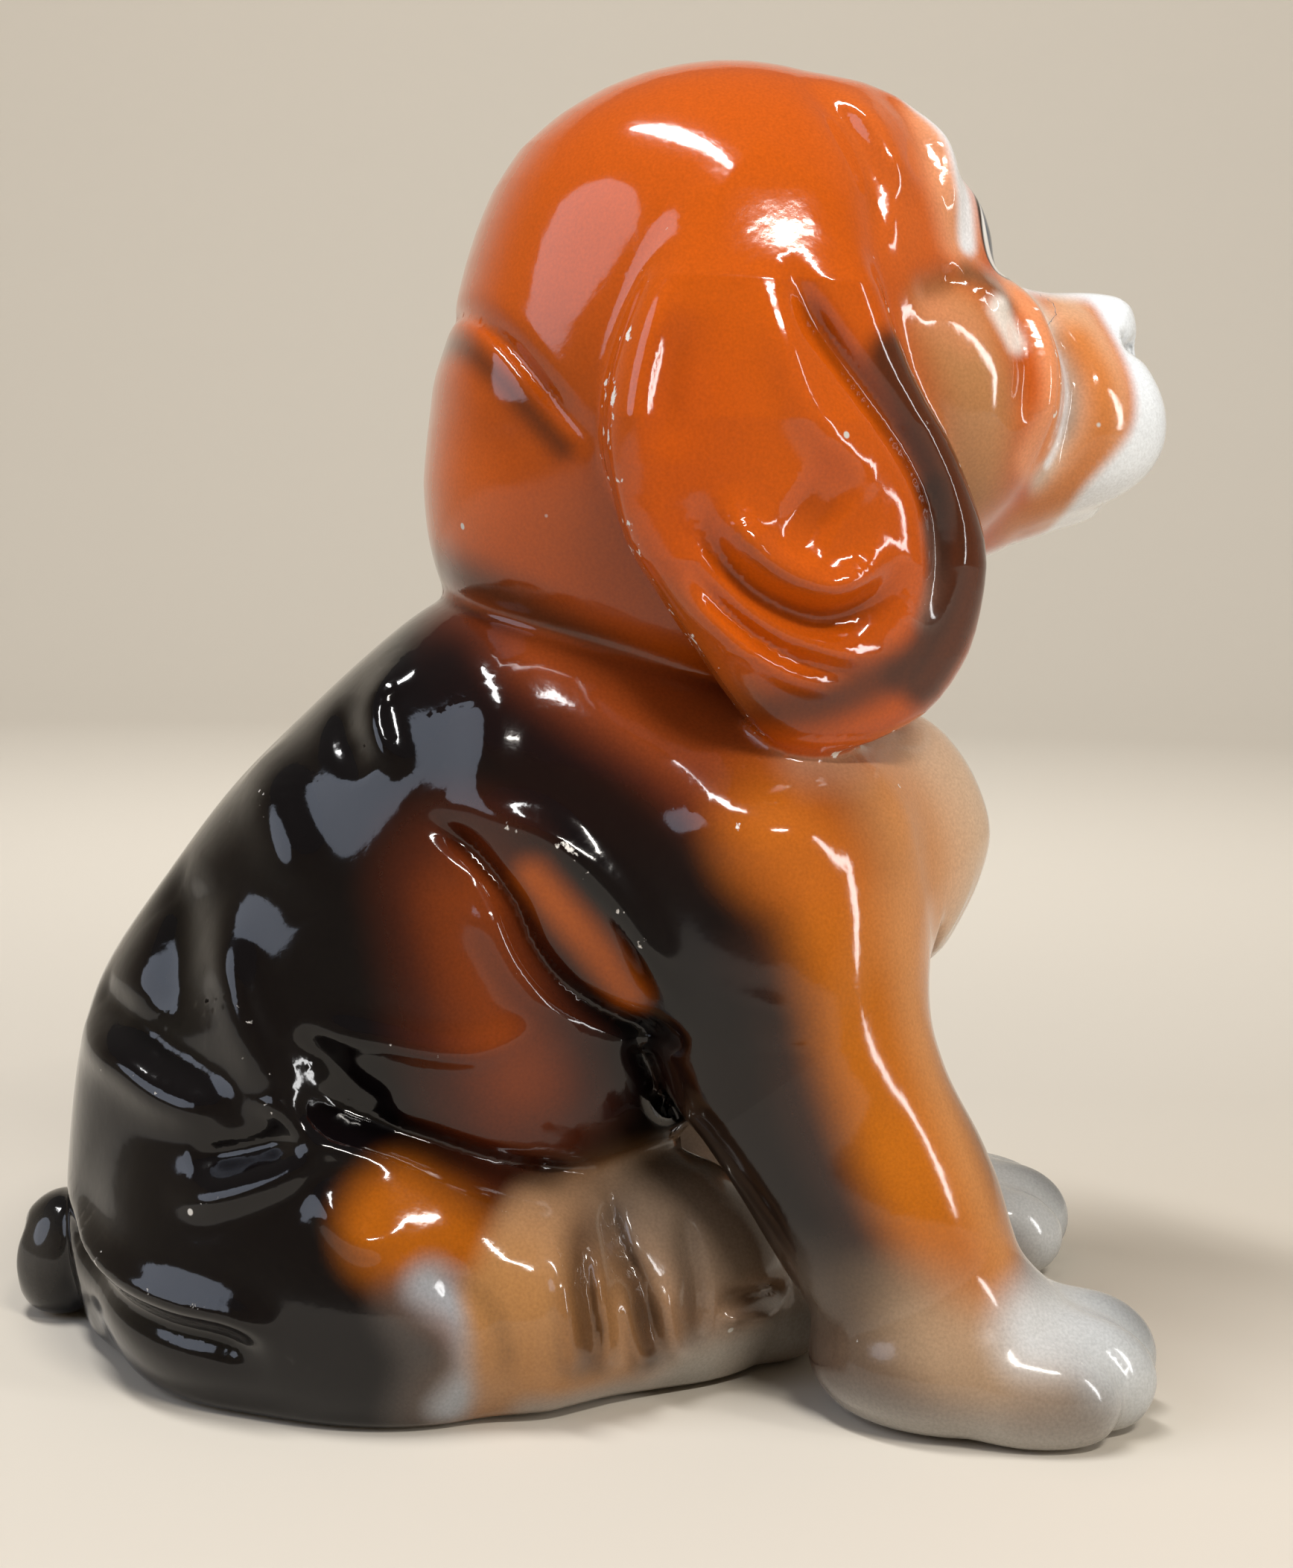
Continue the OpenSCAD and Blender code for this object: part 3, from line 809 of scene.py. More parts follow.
@dataclass
class Puppy:
    """The clay of the whole figure, and the joint faces that it is cut at, in millimetres."""

    grid: float = 1.25
    quick_grid: float = 2.2
    low: Spot3 = (-50.0, -79.0, -4.0)
    high: Spot3 = (50.0, 76.0, 161.0)
    neck_slope: float = 24.0
    ear_pad: float = 29.0
    vent_radius: float = 5.0
    vent_depth: float = 14.0
    vent_y: float = 36.0
    room: Lump = Lump((0, 28, 24), (19, 19, 19))
    tail_joint_y: float = 64.6
    leg_slope: float = 41.0
    keel_x: float = 11.0
    seat_rear: float = -13.0
    foot_y: float = 2.0
    foot_top: float = 25.5
    half_width: float = 40.0
    back_edge: float = 9.0
    chest_edge: float = 5.0
    head_edge: float = 6.0
    eye_centre: Spot3 = (15.4, -44.6, 133.6)
    eye_faces: Spot3 = (0.52, -0.84, 0.14)
    eye_radius: float = 5.0
    back_path: Sequence[Spot2] = (
        (18, 99), (24.4, 88), (32, 79.4), (41.6, 69.4), (50, 59.2), (57.8, 48.4), (61.8, 38), (63.4, 27),
        (64, 18), (64, 8), (63, -6))
    chest_path: Sequence[Spot2] = (
        (-38, 86), (-44, 78), (-48.6, 71), (-51, 64.4), (-49.8, 59), (-46, 50.5), (-40, 40))
    head_path: Sequence[Spot2] = (
        (18.9, 90), (19.6, 104), (18.0, 115.5), (15.8, 126), (13.8, 134), (9.2, 144), (-0.4, 151), (-9, 154),
        (-17, 155), (-26.3, 153.8), (-35.2, 150.6), (-41, 146), (-44.6, 140), (-46.6, 136), (-51.4, 132.0),
        (-55, 130.2), (-66.4, 129.6), (-69.2, 127), (-70.1, 123), (-71.2, 119), (-72.1, 114.6), (-72.1, 110),
        (-71, 107), (-68.6, 104), (-63.8, 101), (-54.2, 96.6), (-44, 84), (-20, 78), (10, 82), (18.9, 90))

    def __post_init__(self) -> None:
        """Models the sub-assemblies and lays out the lines and joints."""
        self.torso, self.forelegs, self.hind_feet = Torso(), Forelegs(), HindFeet()
        self.tail, self.head, self.ears = Tail(), Head(), EarFlaps()
        self.back, self.chest = curve(self.back_path), curve(self.chest_path)
        self.profile = curve(self.head_path, 2)
        self.joints = self.lay_out_joints()

    def lay_out_joints(self) -> list[Joint]:
        """Lists the joint faces between the castings.

        Returns:
            The joint faces.
        """
        c, s = spin(self.neck_slope)
        joints = [Joint((0, NECK_PIVOT_Y, 81.7), (0, -s, c), (-45, -70, 60), (45, 30, 104)),
                  Joint((0, self.tail_joint_y, 8), (0, 1, 0), (-12, 55, -1), (12, 75, 20))]
        c, s = spin(HEAD_TURN)
        for side in (1, -1):
            n = (side * c, side * s, 0.0)
            near, far = sorted((side * 15, side * 60))
            joints.append(Joint((n[0] * self.ear_pad, NECK_PIVOT_Y + n[1] * self.ear_pad, 110), n,
                                (near, -60, 68), (far, 20, 150)))
        c, s = spin(self.leg_slope)
        centre, up = (0.0, -27.0, 41.0), (0.0, s, c)
        rear, top, keel = self.seat_rear, self.foot_top, self.keel_x
        for side in (1, -1):
            near, far = sorted((side * keel, side * 60.0))
            joints.append(Joint(centre, up, (near, -60, top), (far, rear, 70)))
            joints.append(Joint((0, rear, 0), (0, 1, 0), (near, rear - 1, top), (far, rear + 1, 40),
                                (centre, up)))
            joints.append(Joint((side * keel, 0, 0), (1, 0, 0), (side * keel - 1, -60, top),
                                (side * keel + 1, rear, 70), (centre, up)))
        foot = self.foot_y
        joints.append(Joint((0, foot, 0), (0, 1, 0), (-45, foot - 1, -1), (45, foot + 1, top)))
        joints.append(Joint((0, 0, top), (0, 0, 1), (-45, -22, top - 1), (45, foot, top + 1)))
        joints.append(Joint((0, 0, 0), (1, 0, 0), (-1, -40, -1), (1, foot, top)))
        return joints

    def body_field(self, p: Array) -> Array:
        """Signed distance to the skin of everything below the neck, in millimetres.

        Args:
            p: N x 3 places, in millimetres.

        Returns:
            The signed distances.
        """
        body = self.torso.shape(p) - HALF_FILLET
        middle = np.flatnonzero(np.abs(p[:, 0]) < self.half_width)
        y, z = p[middle, 1], p[middle, 2]
        back = to_line(y, z, self.back)[1]
        body[middle] = trim(body[middle], np.where(y > -10, back, -FAR), self.back_edge)
        front = np.where((y < -10) & (z > 38) & (z < 88), -to_line(y, z, self.chest)[1], -FAR)
        body[middle] = trim(body[middle], front, self.chest_edge)
        body -= self.torso.relief(p)
        body = join(body, self.hind_feet.field(p), 3)
        body = join(body, self.forelegs.field(p), 0.6 + 3.4 * smooth(p[:, 2], 24, 34))
        return join(body, self.tail.field(p), 1.5)

    def head_field(self, p: Array) -> Array:
        """Signed distance to the skin of the head and ears, in millimetres.

        Args:
            p: N x 3 places, in millimetres.

        Returns:
            The signed distances.
        """
        q = self.head.own(p)
        skull = self.head.shape(q) - HALF_FILLET
        near = np.flatnonzero((np.abs(q[:, 0]) < self.half_width) & (q[:, 2] > 70))
        skull[near] = trim(skull[near], inside_outline(q[near, 1], q[near, 2], self.profile), self.head_edge)
        skull -= self.head.relief(q)
        return join(skull, self.ears.shape(q) - self.ears.relief(q), 2.2)

    def field(self, p: Array) -> Array:
        """Signed distance to the skin of the whole figure, in millimetres.

        Args:
            p: N x 3 places, in millimetres.

        Returns:
            The signed distances.
        """
        whole = join(self.body_field(p), self.head_field(p), 2.0)
        whole = trim(whole, -p[:, 2], 2.0)
        bore = np.maximum(self.from_vent(p) - self.vent_radius, p[:, 2] - self.vent_depth)
        return trim(whole, -np.minimum(bore, self.room.field(p)), 1.0)

    def from_vent(self, p: Array) -> Array:
        """Distance of places from the middle line of the vent hole."""
        return np.hypot(p[:, 0], p[:, 1] - self.vent_y)

    def glaze_coat(self, p: Array, normals: Array) -> dict[str, Array]:
        """Works out what the glaze looks like at each place on the skin.

        Args:
            p: N x 3 places on the skin, in millimetres.
            normals: N x 3 directions of the skin.

        Returns:
            The values of each named attribute of the glaze.
        """
        colours = self.torso.paint(p, np.zeros((len(p), 3)))
        for part, low, high in ((self.hind_feet, 0.4, 2.5), (self.forelegs, 0.5, 3.5),
                                (self.tail, 0.3, 1.5)):
            share = (1 - smooth(part.shape(p), low, high))[:, None]
            colours = colours * (1 - share) + part.paint(p, colours) * share
        upper = smooth(self.body_field(p) - self.head_field(p), -0.8, 0.8)[:, None]
        q = self.head.own(p)
        crown = self.head.paint(p, np.zeros((len(p), 3)))
        flap = (1 - smooth(self.ears.shape(q), 0.4, 1.6))[:, None]
        crown = crown * (1 - flap) + self.ears.paint(p, crown) * flap
        colours = colours * (1 - upper) + crown * upper
        upper, flap = upper[:, 0], flap[:, 0]
        raised = (self.torso.relief(p) * (1 - upper)
                  + upper * (self.head.relief(q) * (1 - flap) + self.ears.relief(q) * flap))
        colours = colours * (1 - 0.45 * smooth(-raised, 0.5, 2.0)[:, None])  # painted shade: the paint is darkened in the creases by their depth, for the shade there and for the dark paint that pools in them
        rim = flap * smooth(inside_outline(q[:, 1], q[:, 2], self.ears.edge_line), -1.2, 0.2)
        wear = np.clip(smooth(raised, 0.6, 1.6) * 0.6 + rim * 0.62, 0, 1)
        sole = smooth(-normals[:, 2], 0.93, 0.99) * (1 - smooth(p[:, 2], 0.3, 1.2))
        inside = smooth(self.vent_radius + 1.5 - self.from_vent(p), 0, 1) * (1 - smooth(p[:, 2], 8, 9))
        return {"paint": colours, "wear": wear, "bare": np.maximum(sole, inside), **self.eye_place(q)}

    def eye_place(self, q: Array) -> dict[str, Array]:
        """Coordinates across and up each painted eye, in eye radii, far off it elsewhere.

        Args:
            q: N x 3 places in the head's own frame.

        Returns:
            The two coordinates, by the name of their attribute.
        """
        out = np.array(self.eye_faces)
        across = np.cross([0, 0, 1.0], out)
        across /= np.linalg.norm(across)
        offset = np.stack([np.abs(q[:, 0]), q[:, 1], q[:, 2]], axis=1) - np.array(self.eye_centre)
        near = np.linalg.norm(offset, axis=1) < 14
        return {name: np.where(near, offset @ way / self.eye_radius, 9)
                for name, way in (("eye_across", across), ("eye_up", np.cross(out, across)))}


# ------------------------------------------------------------------ meshing

def sample(shape: Callable[[Array], Array], low: Array, counts: Array, step: float) -> Array:
    """Samples the clay on a grid, fully only near its skin.

    Args:
        shape: signed distance of N x 3 places.
        low: lowest corner of the grid.
        counts: number of places along each side.
        step: spacing of the grid.

    Returns:
        The signed distances, as a block.
    """
    coarse = 4  # grid steps between the first, rough samples
    axes = [low[i] + step * np.arange(0, counts[i] + coarse, coarse) for i in range(3)]
    block = np.stack(np.meshgrid(*axes, indexing="ij"), axis=-1)
    values = shape(block.reshape(-1, 3)).reshape(block.shape[:3])
    for axis in range(3):
        place = np.arange(counts[axis]) / coarse
        first = np.minimum(place.astype(int), values.shape[axis] - 2)
        share = (place - first).reshape([-1 if i == axis else 1 for i in range(3)])
        values = np.take(values, first, axis) * (1 - share) + np.take(values, first + 1, axis) * share
    safe = 2.4 * step * coarse  # mm, further off than the rough samples can be wrong
    near = np.argwhere(np.abs(values) < safe)
    values[tuple(near.T)] = shape(low + step * near)
    return values


def grid_steps(block: Array, axis: int) -> tuple[Array, Array]:
    """Values at the start and at the end of every step of a grid along one axis."""
    steps = np.arange(block.shape[axis] - 1)
    return block.take(steps, axis), block.take(steps + 1, axis)


def net(values: Array, low: Array, step: float) -> tuple[Array, Array]:
    """Lays a net of quads over the zero level of a block of signed distances.

    Args:
        values: the block.
        low: its lowest corner.
        step: its spacing.

    Returns:
        Places of the net's knots, and its quads.
    """
    cells = tuple(n - 1 for n in values.shape)
    total, crossings, crossed = np.zeros(cells + (3,)), np.zeros(cells), []
    for axis in range(3):
        before, after = grid_steps(values, axis)
        cross = (before < 0) != (after < 0)
        share = np.where(cross, before / np.where(cross, before - after, 1), 0)
        crossed.append((cross, before < 0))
        one, two = [i for i in range(3) if i != axis]
        for i, j in product((0, 1), repeat=2):
            pick = [slice(None)] * 3
            pick[one], pick[two] = slice(i, cells[one] + i), slice(j, cells[two] + j)
            hit, corner = cross[tuple(pick)], {one: i, two: j}
            for k in range(3):
                total[..., k] += np.where(hit, corner.get(k, share[tuple(pick)]), 0)
            crossings += hit
    active = crossings > 0
    index = np.full(cells, -1)
    index[active] = np.arange(active.sum())
    knots = low + step * (np.argwhere(active) + total[active] / crossings[active][:, None])
    quads = []
    for axis, (cross, starts_inside) in enumerate(crossed):
        u, v = (axis + 1) % 3, (axis + 2) % 3
        edges = np.argwhere(cross)
        edges = edges[(edges[:, u] > 0) & (edges[:, v] > 0)
                      & (edges[:, u] < cells[u]) & (edges[:, v] < cells[v])]
        around = []
        for du, dv in ((-1, -1), (0, -1), (0, 0), (-1, 0)):
            cell = edges.copy()
            cell[:, u] += du
            cell[:, v] += dv
            around.append(index[tuple(cell.T)])
        ring = np.stack(around, axis=1)
        quads.append(np.where(starts_inside[tuple(edges.T)][:, None], ring, ring[:, ::-1]))
    return knots, np.vstack(quads)


def split_quads(knots: Array, quads: Array) -> tuple[Array, Array]:
    """Divides every quad into four.

    Args:
        knots: V x 3 places.
        quads: F x 4 corners.

    Returns:
        The new places and quads.
    """
    pairs = np.stack([quads, np.roll(quads, -1, axis=1)], axis=-1).reshape(-1, 2)
    unique, where = np.unique(np.sort(pairs, axis=1), axis=0, return_inverse=True)
    middle = len(knots) + where.reshape(-1, 4)
    centre = len(knots) + len(unique) + np.arange(len(quads))
    places = np.vstack([knots, knots[unique].mean(axis=1), knots[quads].mean(axis=1)])
    parts = [np.stack([quads[:, i], middle[:, i], centre, middle[:, i - 1]], axis=1) for i in range(4)]
    return places, np.vstack(parts)


def slope(shape: Callable[[Array], Array], p: Array, reach: float = 0.12) -> tuple[Array, Array]:
    """Value and gradient of the clay at places.

    Args:
        shape: signed distance of N x 3 places.
        p: the places.
        reach: how far apart the probes stand.

    Returns:
        The signed distance and its gradient.
    """
    value = np.zeros(len(p))
    gradient = np.zeros((len(p), 3))
    for probe in ((1, -1, -1), (-1, -1, 1), (-1, 1, -1), (1, 1, 1)):
        e = np.array(probe, float)
        f = shape(p + reach * e)
        value += f / 4
        gradient += f[:, None] * e / (4 * reach)
    return value, gradient


def settle(shape: Callable[[Array], Array], p: Array) -> tuple[Array, Array]:
    """Moves places onto the skin of the clay.

    Args:
        shape: signed distance of N x 3 places.
        p: the places.

    Returns:
        The places on the skin, and the skin's directions there.
    """
    value, gradient = slope(shape, p)
    farthest = 0.6  # mm, so that no place jumps over a crease
    steep = np.maximum((gradient * gradient).sum(axis=1), 0.2)
    step = np.clip(value / steep, -farthest, farthest)
    lengths = np.maximum(np.linalg.norm(gradient, axis=1), 1e-9)
    return p - step[:, None] * gradient, gradient / lengths[:, None]


# ------------------------------------------------------------------ cutting

def read_all(items: bpy.types.bpy_prop_collection, name: str, width: int = 1, kind: type = int) -> Array:
    """Reads one property of every element of a mesh.

    Args:
        items: the vertices, edges, corners or polygons.
        name: the property.
        width: how many numbers each element has.
        kind: int or float.

    Returns:
        One row for each element, or one number where the width is 1.
    """
    values = np.empty(len(items) * width, kind)
    items.foreach_get(name, values)
    return values.reshape(-1, width) if width > 1 else values


@dataclass
class Skin:
    """The skin of the whole figure: places, polygons, and what lies on each place."""

    places: Array
    polygons: list[tuple[int, ...]]
    normals: Array
    coat: dict[str, Array]


def bisect(bm: bmesh.types.BMesh, joint: Joint, around: float = 3.0) -> None:
    """Cuts the part of a mesh that is near one joint face along the joint's plane.

    Args:
        bm: the mesh, which is changed.
        joint: the joint face.
        around: how far past the joint face the cut may reach.
    """
    coords = np.array([v.co for v in bm.verts])
    bm.verts.ensure_lookup_table()
    close = (np.abs(joint.height(coords)) < around) & joint.holds(coords, around)
    faces = {f for i in np.flatnonzero(close) for f in bm.verts[i].link_faces}
    edges = {e for f in faces for e in f.edges}
    verts = {v for f in faces for v in f.verts}
    bmesh.ops.bisect_plane(bm, geom=[*verts, *edges, *faces], dist=1e-4,
                           plane_co=Vector(joint.point), plane_no=Vector(joint.normal))


def cut_joints(places: Array, quads: Array, joints: Sequence[Joint]) -> tuple[Array, list, Array, Array]:
    """Cuts the skin along every joint face.

    Args:
        places: V x 3 places in millimetres.
        quads: F x 4 corners.
        joints: the joint faces.

    Returns:
        The new places, the polygons, the pairs of polygons that share an edge off the joints, and
        the pairs that share an edge on one.
    """
    mesh = bpy.data.meshes.new("skin")
    mesh.from_pydata(places.tolist(), [], quads.tolist())
    bm = bmesh.new()
    bm.from_mesh(mesh)
    for joint in joints:
        bisect(bm, joint)
    bm.to_mesh(mesh)
    bm.free()
    coords = read_all(mesh.vertices, "co", 3, float)
    polygons = [tuple(p.vertices) for p in mesh.polygons]
    loop_edges = read_all(mesh.loops, "edge_index")
    owner = np.repeat(np.arange(len(polygons)), [len(p) for p in polygons])
    order = np.argsort(loop_edges, kind="stable")
    first, second = order[:-1], order[1:]
    same = loop_edges[first] == loop_edges[second]
    pairs = np.stack([owner[first[same]], owner[second[same]]], axis=1)
    ends = coords[read_all(mesh.edges, "vertices", 2)]
    on_joint = np.zeros(len(ends), bool)
    for joint in joints:
        flat = (np.abs(joint.height(ends[:, 0])) < 2e-3) & (np.abs(joint.height(ends[:, 1])) < 2e-3)
        on_joint |= flat & joint.holds(ends.mean(axis=1), 1e-3)
    bpy.data.meshes.remove(mesh)
    crosses = on_joint[loop_edges[first[same]]]
    return coords, polygons, pairs[~crosses], pairs[crosses]


def islands(count: int, pairs: Array) -> Array:
    """Numbers the connected groups of polygons, each by its lowest member.

    Args:
        count: number of polygons.
        pairs: the pairs of them that are neighbours.

    Returns:
        Each polygon's group.
    """
    label = np.arange(count)
    while True:
        low = np.minimum(label[pairs[:, 0]], label[pairs[:, 1]])
        new = label.copy()
        np.minimum.at(new, pairs[:, 0], low)
        np.minimum.at(new, pairs[:, 1], low)
        new = new[new]
        if np.array_equal(new, label):
            return label
        label = new


def share_out(places: Array, polygons: list, pairs: Array, seams: Array,
              seeds: dict[str, Spot3]) -> dict[str, Array]:
    """Shares the polygons out among the castings.

    Args:
        places: V x 3 places.
        polygons: the polygons.
        pairs: neighbours off the joints.
        seams: neighbours across a joint.
        seeds: a place on or near each casting's skin.

    Returns:
        The polygons of each casting.
    """
    scrap = 0.001 * len(polygons)  # islands smaller than this are crumbs of a cut
    label = islands(len(polygons), pairs)
    middles = np.array([places[list(p)].mean(axis=0) for p in polygons])
    big = np.bincount(label, minlength=len(polygons))[label] > scrap
    name_of = {}
    for name, seed in seeds.items():
        gap = np.linalg.norm(middles - np.array(seed), axis=1) + np.where(big, 0, 1e6)
        name_of[label[np.argmin(gap)]] = name
    for _ in range(8):  # crumbs behind crumbs take a few rounds
        if np.isin(label, list(name_of)).all():
            break
        for a, b in seams:
            for one, other in ((a, b), (b, a)):
                if label[one] not in name_of and label[other] in name_of:
                    label[label == label[one]] = label[other]
    LOG.info("islands: %s", {name_of.get(k, "loose"): int(n) for k, n in
                             zip(*np.unique(label, return_counts=True))})
    return {name: np.flatnonzero(label == k) for k, name in name_of.items()}


def model_skin(puppy: Puppy, seeds: dict[str, Spot3]) -> tuple[Skin, dict[str, Array]]:
    """Models the clay, lays a skin over it and cuts it at the joints.

    Args:
        puppy: the figure.
        seeds: a place on or near each casting's skin.

    Returns:
        The skin, and the polygons of each casting.
    """
    step = puppy.grid
    low, high = np.array(puppy.low), np.array(puppy.high)
    counts = np.ceil((high - low) / step).astype(int)
    knots, quads = split_quads(*net(sample(puppy.field, low, counts, step), low, step))
    knots, _ = settle(puppy.field, knots)
    places, polygons, pairs, seams = cut_joints(knots, quads, puppy.joints)
    shares = share_out(places, polygons, pairs, seams, seeds)
    places, normals = settle(puppy.field, places)
    return Skin(places, polygons, normals, puppy.glaze_coat(places, normals)), shares


# ------------------------------------------------------------------ finishes

def add_node(tree: bpy.types.NodeTree, kind: str, inputs: dict | None = None, out: int | str = 0,
             **settings: object) -> bpy.types.NodeSocket | None:
    """Adds a node with its settings and links.

    Args:
        tree: where the node goes.
        kind: the node's type.
        inputs: values for its sockets, by name or number; an output socket is linked.
        out: which of its outputs is wanted, by name or number.
        settings: the node's own properties.

    Returns:
        The wanted output, or None from a node that has none.
    """
    node = tree.nodes.new(kind)
    for key, value in settings.items():
        setattr(node, key, value)
    for key, value in (inputs or {}).items():
        if isinstance(value, bpy.types.NodeSocket):
            tree.links.new(value, node.inputs[key])
        else:
            node.inputs[key].default_value = value
    return node.outputs[out] if node.outputs else None


def empty_material(name: str) -> bpy.types.Material:
    """Makes a material without any nodes.

    Args:
        name: the material's name.

    Returns:
        The material.
    """
    material = bpy.data.materials.new(name)
    material.use_nodes = True
    material.node_tree.nodes.clear()
    return material


@dataclass(frozen=True)
class EyeRing:
    """One ring of a painted eye, in eye radii: where its middle is, its half sizes and its colour."""

    across: float
    up: float
    wide: float
    high: float
    colour: str


@dataclass(frozen=True)
class AirbrushedGlaze:
    """Clear gloss glaze over airbrushed colours on slip-cast earthenware.

    It gives the eye deep, wet-looking colour with sharp reflections, a fine mist where one colour
    fades into another, and white clay where the raised edges have been rubbed or chipped. Sizes
    of its patterns are in millimetres.
    """

    slot: str
    chip_share: float = 0.5
    mist_mm: float = 0.35
    chip_mm: float = 1.8
    fleck_mm: float = 9.0
    grog_mm: float = 1.2
    ripple_mm: float = 2.4
    peel_mm: float = 0.8
    roughness: float = 0.10
    coat: float = 0.2
    shine: float = 0.36
    eye: tuple[EyeRing, ...] = (
        EyeRing(0.0, -0.05, 1.12, 1.18, "#2a1c16"),  # rim of the lids
        EyeRing(0.02, -0.12, 1.0, 1.02, "#e8e6e2"),  # white
        EyeRing(0.06, 0.02, 0.80, 0.92, "#56606c"),  # iris
        EyeRing(0.08, 0.12, 0.52, 0.62, "#0b0c10"),  # pupil
        EyeRing(0.28, 0.36, 0.15, 0.17, "#f2f4f6"),  # painted catchlight
    )

    def make(self) -> bpy.types.Material:
        """Builds the material.

        Returns:
            The material.
        """
        material = empty_material(self.slot)
        tree = material.node_tree
        add = partial(add_node, tree)
        math_node, mix_node, vector_node = "ShaderNodeMath", "ShaderNodeMix", "ShaderNodeVectorMath"
        paint, wear, bare, across, up = (
            add("ShaderNodeAttribute", out=out, attribute_name=name) for name, out in
            (("paint", "Color"), ("wear", "Fac"), ("bare", "Fac"), ("eye_across", "Fac"), ("eye_up", "Fac")))
        place = add("ShaderNodeTexCoord", out="Object")
        mist, chips, grog, ripple, peel = (
            add("ShaderNodeTexNoise", {"Vector": place, "Scale": 1 / (size * MM), "Detail": detail})
            for size, detail in ((self.mist_mm, 3.0), (self.chip_mm, 5.0), (self.grog_mm, 4.0),
                                 (self.ripple_mm, 1.0), (self.peel_mm, 2.0)))

        # the airbrush leaves a fine mist of darker and lighter dots
        mist = add(math_node, {0: mist, 1: 0.5, 2: 0.75}, operation="MULTIPLY_ADD")
        body = add(mix_node, {0: 1.0, 6: paint, 7: mist}, 2, data_type="RGBA", blend_type="MULTIPLY")

        # rings of the eye, each painted over the last, with an edge about a brush hair wide
        spot = add("ShaderNodeCombineXYZ", {0: across, 1: up})
        for ring in self.eye:
            spread = add(vector_node, {0: spot, 1: (ring.across, ring.up, 0)}, operation="SUBTRACT")
            spread = add(vector_node, {0: spread, 1: (ring.wide, ring.high, 1)}, operation="DIVIDE")
            size = add(vector_node, {0: spread}, "Value", operation="LENGTH")
            mask = add(math_node, {0: size, 1: -14.0, 2: 14.0}, operation="MULTIPLY_ADD", use_clamp=True)
            body = add(mix_node, {0: mask, 6: body, 7: rgba(ring.colour)}, 2, data_type="RGBA")

        # dust baked into the glaze: a few small pale flecks
        distance = add("ShaderNodeTexVoronoi", {"Vector": place, "Scale": 1 / (self.fleck_mm * MM)},
                       "Distance")
        lot = add("ShaderNodeSeparateColor", {0: distance.node.outputs["Color"]})
        rare = add(math_node, {0: lot, 1: 0.72}, operation="GREATER_THAN")
        fleck = add(math_node, {0: distance, 1: -60.0, 2: 3.0}, operation="MULTIPLY_ADD", use_clamp=True)
        fleck = add(math_node, {0: fleck, 1: rare}, operation="MULTIPLY")
        body = add(mix_node, {0: fleck, 6: body, 7: rgba("#c9c6c0")}, 2, data_type="RGBA")

        # rubbed and chipped edges show the white clay
        chips = add(math_node, {0: wear, 1: 0.24, 2: chips}, operation="MULTIPLY_ADD")
        edge = 0.80 - 0.06 * self.chip_share
        chips = add(math_node, {0: chips, 1: 26.0, 2: -26.0 * edge}, operation="MULTIPLY_ADD", use_clamp=True)
        body = add(mix_node, {0: chips, 6: body, 7: rgba("#e4dfd8")}, 2, data_type="RGBA")

        # unglazed foot of the figure, wiped before firing
        clay = add(mix_node, {0: grog, 6: rgba("#b9a78f"), 7: rgba("#d9cbb6")}, 2, data_type="RGBA")
        body = add(mix_node, {0: bare, 6: body, 7: clay}, 2, data_type="RGBA")
        chalky = add(math_node, {0: chips, 1: 0.35}, operation="MULTIPLY")
        dry = add(math_node, {0: bare, 1: 0.75}, operation="MULTIPLY")
        rough = add(math_node, {0: chalky, 1: dry}, operation="MAXIMUM")
        rough = add(math_node, {0: rough, 1: self.roughness}, operation="MAXIMUM")

        # the glaze lies in long ripples with a fine peel, and is missing from the chips
        height = add(math_node, {0: ripple, 1: 0.8}, operation="MULTIPLY")
        height = add(math_node, {0: peel, 1: 0.25, 2: height}, operation="MULTIPLY_ADD")
        height = add(math_node, {0: chips, 1: -0.9, 2: height}, operation="MULTIPLY_ADD")
        bump = add("ShaderNodeBump", {"Height": height, "Strength": 0.35, "Distance": 0.12 * MM})
        shader = add("ShaderNodeBsdfPrincipled", {
            "Base Color": body, "Roughness": rough, "Normal": bump, "IOR": 1.5,
            "Specular IOR Level": self.shine,
            "Coat Weight": self.coat, "Coat Roughness": 0.03, "Coat IOR": 1.55})
        add("ShaderNodeOutputMaterial", {"Surface": shader})
        return material


@dataclass(frozen=True)
class MattBoard:
    """Pale painted board, which gives the eye an even ground without any shine."""

    name: str
    colour: str
    roughness: float = 0.9

    def make(self) -> bpy.types.Material:
        """Builds the material.

        Returns:
            The material.
        """
        material = empty_material(self.name)
        shader = add_node(material.node_tree, "ShaderNodeBsdfPrincipled", {
            "Base Color": rgba(self.colour), "Roughness": self.roughness})
        add_node(material.node_tree, "ShaderNodeOutputMaterial", {"Surface": shader})
        return material


# ------------------------------------------------------------------ finished castings

